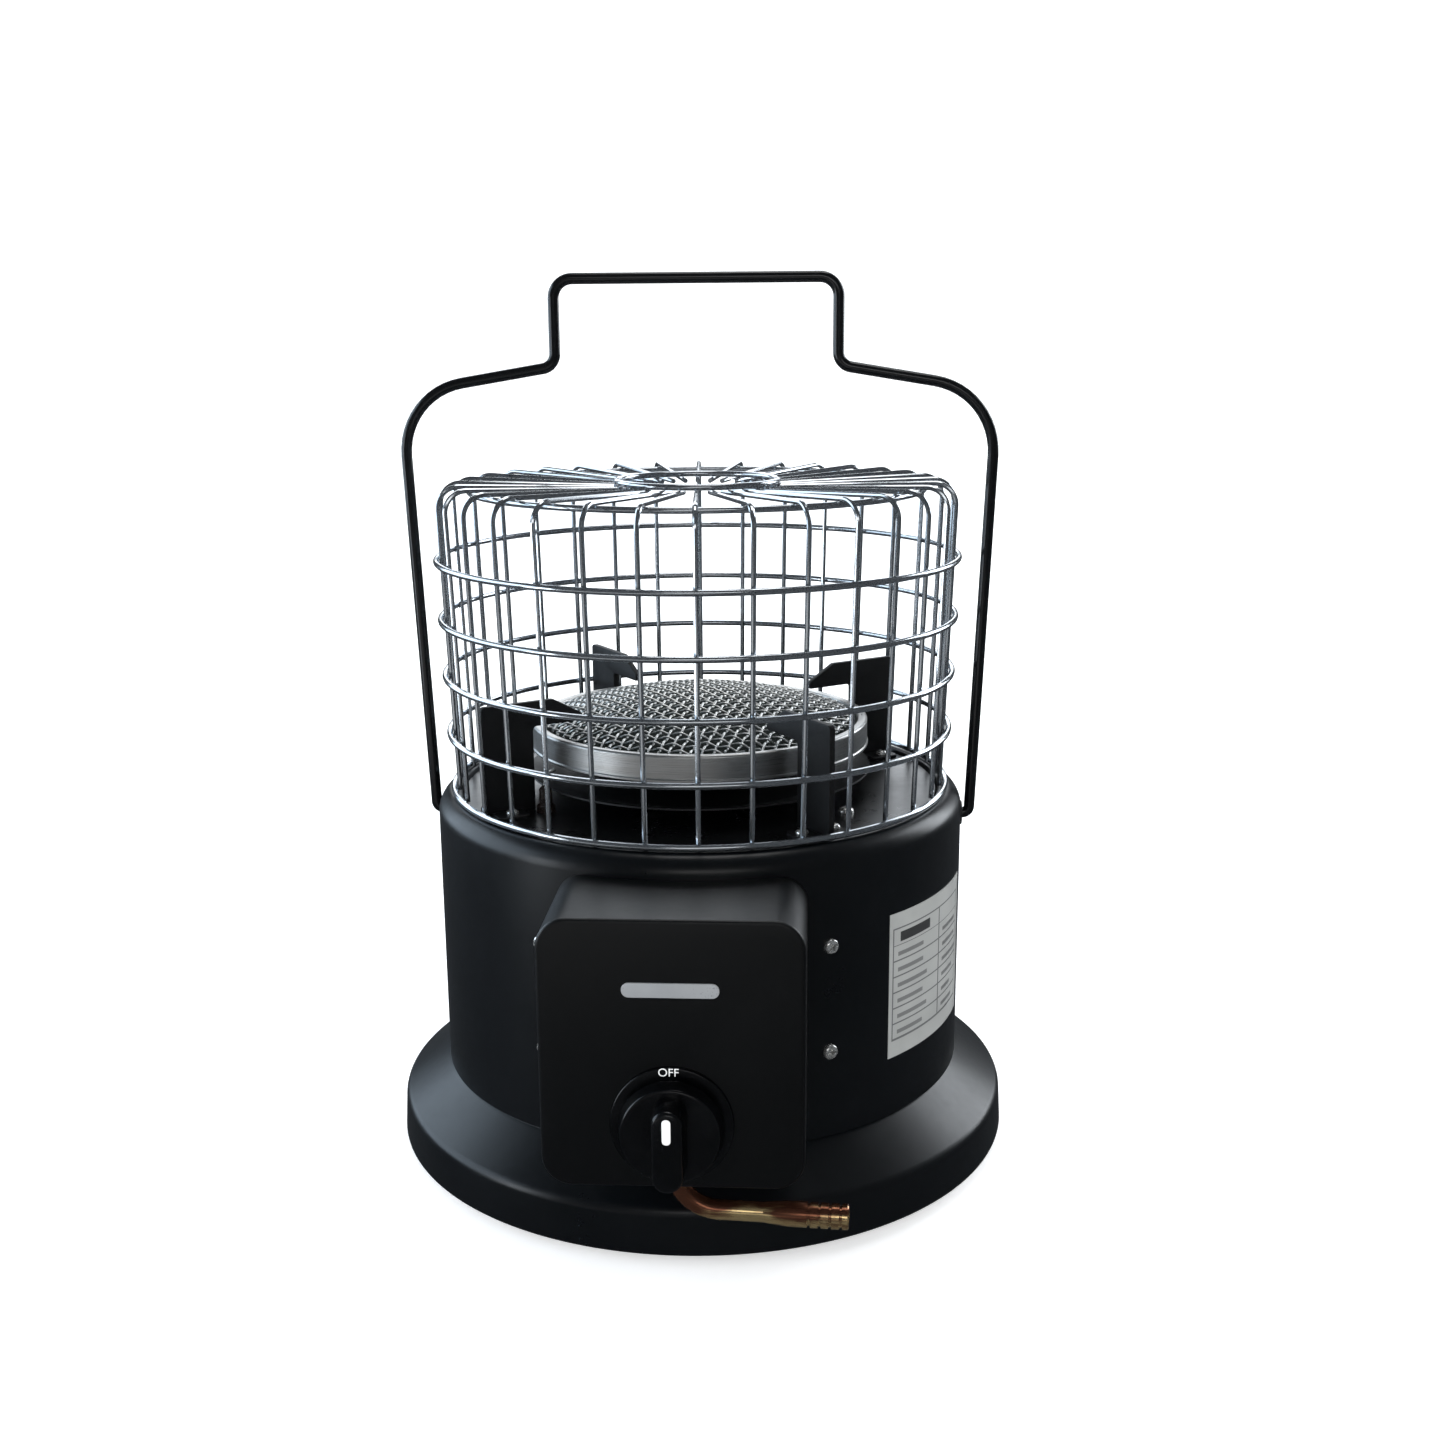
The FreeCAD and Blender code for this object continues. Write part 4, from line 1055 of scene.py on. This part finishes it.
def makeNozzle():
    angle = math.radians(nozzleShape["turn"])
    direction = Vector((math.cos(angle), -math.sin(angle), 0))
    corner = Vector((nozzleShape["x"], nozzleShape["y"], nozzleShape["level"]))
    end = corner + direction * nozzleShape["reach"]
    ribStart = nozzleShape["reach"] - nozzleShape["ribbed"] - nozzleShape["taper"]
    pipe = bentWire("nozzlePipe", [(corner.x, corner.y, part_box("hose_nozzle")[1].z), corner,
                                   corner + direction * (ribStart + nozzleShape["endEdge"])],
                    [nozzleShape["bend"]], nozzleShape["pipe"], "brass", sides=28)
    small, crest, bore = nozzleShape["pipe"] / 2, nozzleShape["crest"] / 2, nozzleShape["bore"] / 2
    length = nozzleShape["ribbed"] + nozzleShape["taper"]
    deep, side, edge = crest - nozzleShape["grooveDeep"], nozzleShape["grooveSide"], nozzleShape["endEdge"]
    outline = [(small, 0.0), (crest, nozzleShape["taper"])]
    for step in reversed(range(nozzleShape["grooves"])):
        near = length - nozzleShape["endPlain"] - nozzleShape["spacing"] * step
        far = near + nozzleShape["groove"]
        outline += [(crest, near), (deep, near + side), (deep, far - side), (crest, far)]
    outline += [(crest, length - edge), (crest - edge, length), (bore, length), (bore, 0.0)]
    ribs = spinOutline("ribs", [Vector(point) for point in outline], "brass", 64)
    turn = direction.to_track_quat("Z", "Y").to_matrix().to_4x4()
    ribs.data.transform(Matrix.Translation(end - direction * length) @ turn)
    return settle(join("hoseNozzle", [pipe, ribs], "brass"), "base", "brass", "hose_nozzle")


makeNozzle()
print("nozzle made")


# Screws

# shares of the head's width, or of its height for the rounding and the recess's levels;
# the recess is given at both ends as (long, half wide)
screwShape = {"high": 0.36, "round": 0.7, "under": 0.15 * mm, "recess": [(0.30, 0.05), (0.60, 0.075)],
              "recessEnd": 0.6, "recessLevels": [0.35, 1.05]}
drumScrew, plateScrew, supportScrew = (fromMm(head=head, shank=shank, length=length)
                                       for head, shank, length in ((7.2, 3.8, 6.0), (7.2, 3.8, 5.0),
                                                                   (6.0, 3.2, 6.0)))
screwPlaces = {**fromMm(drumInset=3.6, plateReach=89.5), "drum": (-29.1, 30), "plate": (54, 174, 294)}


def panScrew(head, shank, length):
    # cross-recessed pan head standing on z = 0
    high = head * screwShape["high"]
    outline = arcPath([(0.0, -length), (shank / 2, -length), (shank / 2, 0.0), (head / 2, 0.0),
                       (head / 2, high), (0.0, high)],
                      [0.0, 0.0, screwShape["under"], high * screwShape["round"]], 5)
    blank = spinOutline("screwBlank", outline, "zincScrew", 32)
    cutters = []
    for turn in (0, 90):
        ends = [roundedRect(head * wide, -head * narrow, head * narrow,
                            head * narrow * screwShape["recessEnd"], 0.0, 2)
                for wide, narrow in screwShape["recess"]]
        slot = loft("slot", ends, "zincScrew")
        levels = [high * share for share in screwShape["recessLevels"] for point in ends[0]]
        for vertex, level in zip(slot.data.vertices, levels):
            vertex.co = Vector((vertex.co.x, vertex.co.z, level))
        slot.data.transform(Matrix.Rotation(math.radians(turn), 4, "Z"))
        cutters.append(slot)
    return cutAway(blank, cutters, "panScrew", "zincScrew", 40.0)


def screwGroup(name, node, places, lengths, seed):
    fastener = panScrew(**lengths)
    carrier = pointCarrier(name + "Spots", [place for place, facing in places],
                           facing=[facing for place, facing in places])
    piece = runTree(name, fastenerTree, carrier, {"Fastener": fastener, "Seed": seed}, "zincScrew", 40.0)
    bpy.data.objects.remove(fastener)
    return settle(piece, "base", "screws", node)


def makeScrews():
    radius = outer("drum")
    low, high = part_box("drum_screws")
    levels = (low.z + screwPlaces["drumInset"], high.z - screwPlaces["drumInset"])
    sides = [(polar(radius, azimuth, level), polar(1.0, azimuth))
             for azimuth in screwPlaces["drum"] for level in levels]
    screwGroup("drumScrews", "drum_screws", sides, drumScrew, 4)
    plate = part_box("top_plate")[1].z
    tops = [(polar(screwPlaces["plateReach"], azimuth, plate), up) for azimuth in screwPlaces["plate"]]
    screwGroup("plateScrews", "plate_screws", tops, plateScrew, 9)
    feet = []
    for azimuth in supportAzimuths:
        turn = Matrix.Rotation(math.radians(azimuth - 90.0), 3, "Z")
        for side in (-1, 1):
            spot = turn @ Vector((supportShape["footCentre"], side * supportShape["screwAside"], 0))
            feet.append((Vector((spot.x, spot.y, plate + supportShape["footSheet"])), up))
    screwGroup("supportScrews", "support_screws", feet, supportScrew, 6)


makeScrews()
print("screws made")


# Finishes on the CAD nodes that stay

keptFinishes = {
    "drumEnamel": ["base_plate"],
    "plateEnamel": ["top_plate"],
    "brownGlaze": ["electrode_insulator"],
    "platedSteel": ["jet_bracket", "handle_clips", "valve_stem", "return_spring", "mixing_tube"],
    "zincScrew": ["box_screws", "foot_screws"],
    "brass": ["inlet_nut", "gas_jet", "valve_body", "valve_plunger"],
    "copperPipe": ["gas_pipe"],
    "bushNylon": ["pivot_bush_left", "pivot_bush_right", "piezo_igniter"],
    "leadSilicone": ["ignition_lead"],
    "footRubber": ["foot_1", "foot_2", "foot_3", "foot_4"],
    "wovenWire": ["spark_electrode"],
}
for finish, members in keptFinishes.items():
    for member in members:
        nodes[member].data.materials.clear()
        nodes[member].data.materials.append(finishes[finish])
print("kept nodes finished")


# Camera, floor and light

view = {"azimuth": 4.2, "distance": 0.805, "height": 0.3985, "down": 0.231, "roll": -0.007, "aside": 0.81,
        "focal": 41.26}


def makeCamera():
    lens = bpy.data.cameras.new("camera")
    lens.lens = view["focal"]
    lens.sensor_width = 36.0
    lens.clip_start = 0.01
    camera = bpy.data.objects.new("camera", lens)
    bpy.context.scene.collection.objects.link(camera)
    spot = polar(view["distance"], view["azimuth"], view["height"])
    yaw = math.radians(view["azimuth"] - view["aside"])
    camera.matrix_world = (Matrix.Translation(spot) @ Matrix.Rotation(yaw, 4, "Z")
                           @ Matrix.Rotation(math.pi / 2 - view["down"], 4, "X")
                           @ Matrix.Rotation(view["roll"], 4, "Z"))
    bpy.context.scene.camera = camera


def areaLight(name, azimuth, distance, height, aim, power, wide, tall, tint=(1.0, 1.0, 1.0)):
    lamp = bpy.data.lights.new(name, "AREA")
    lamp.shape = "RECTANGLE"
    lamp.size, lamp.size_y = wide, tall
    lamp.energy = power
    lamp.color = tint
    holder = bpy.data.objects.new(name, lamp)
    bpy.context.scene.collection.objects.link(holder)
    holder.location = polar(distance, azimuth, height)
    holder.rotation_euler = (Vector(aim) - holder.location).to_track_quat("-Z", "Y").to_euler()
    holder.visible_camera = False


studioShape = {"floor": 3.6, "wall": 4.0, "bend": 1.4, "around": 96, "flatPart": 3.0}
lights = [
    ("overhead", 160, 0.35, 1.9, (0, 0, 0.2), 6.0, 0.9, 0.6),
    ("leftWindow", -104, 1.8, 0.70, (0, 0, 0.2), 26.0, 2.2, 1.3, (0.70, 0.85, 1.0)),
    ("rightWindow", 128, 2.0, 0.85, (0, 0, 0.25), 20.0, 0.9, 1.2, (0.90, 0.95, 1.0)),
    ("backWindow", 186, 2.4, 1.45, (0, 0, 0.2), 34.0, 2.4, 1.8, (0.90, 0.95, 1.0)),
    ("frontWindow", 6, 2.1, 0.92, (0, 0, 0.2), 3.5, 1.2, 0.5),
    ("frontCard", -26, 1.15, 0.02, (-0.4, -0.85, 1.5), 1.8, 1.5, 0.7),
    ("sideCard", -62, 1.1, 0.22, (0, -0.15, 0.12), 2.2, 0.25, 0.5, (0.86, 0.93, 1.0)),
]


def makeStudio():
    # a round sweep: floor, curve and wall in one pale sheet, which gloss on the object doesn't see
    reach, around = studioShape["floor"], studioShape["around"]
    profile = arcPath([(0.0, 0.0), (reach, 0.0), (reach, studioShape["wall"])], [studioShape["bend"]], 24)
    shape = bmesh.new()
    rings = [[shape.verts.new((point.x * math.cos(turn), point.x * math.sin(turn), point.y))
              for turn in (2 * math.pi * step / around for step in range(around))] for point in profile]
    for before, after in zip(rings, rings[1:]):
        for step in range(around):
            following = (step + 1) % around
            shape.faces.new((before[step], before[following], after[following], after[step]))
    sweep = fromBmesh("backdrop", shape, "backdrop", 60.0)
    for polygon in sweep.data.polygons:
        if polygon.center.length < studioShape["flatPart"] and polygon.normal.z < 0:
            sweep.data.flip_normals()
            break
    sweep.visible_glossy = False
    for light in lights:
        areaLight(*light)
    world = bpy.data.worlds.new("studio")
    world.use_nodes = True
    bpy.context.scene.world = world
    sky = world.node_tree.nodes["Background"].inputs
    sky["Color"].default_value = (0.82, 0.90, 1.0, 1.0)
    sky["Strength"].default_value = 0.07
    bpy.context.scene.view_settings.view_transform = "Standard"


makeCamera()
makeStudio()
print("studio made")
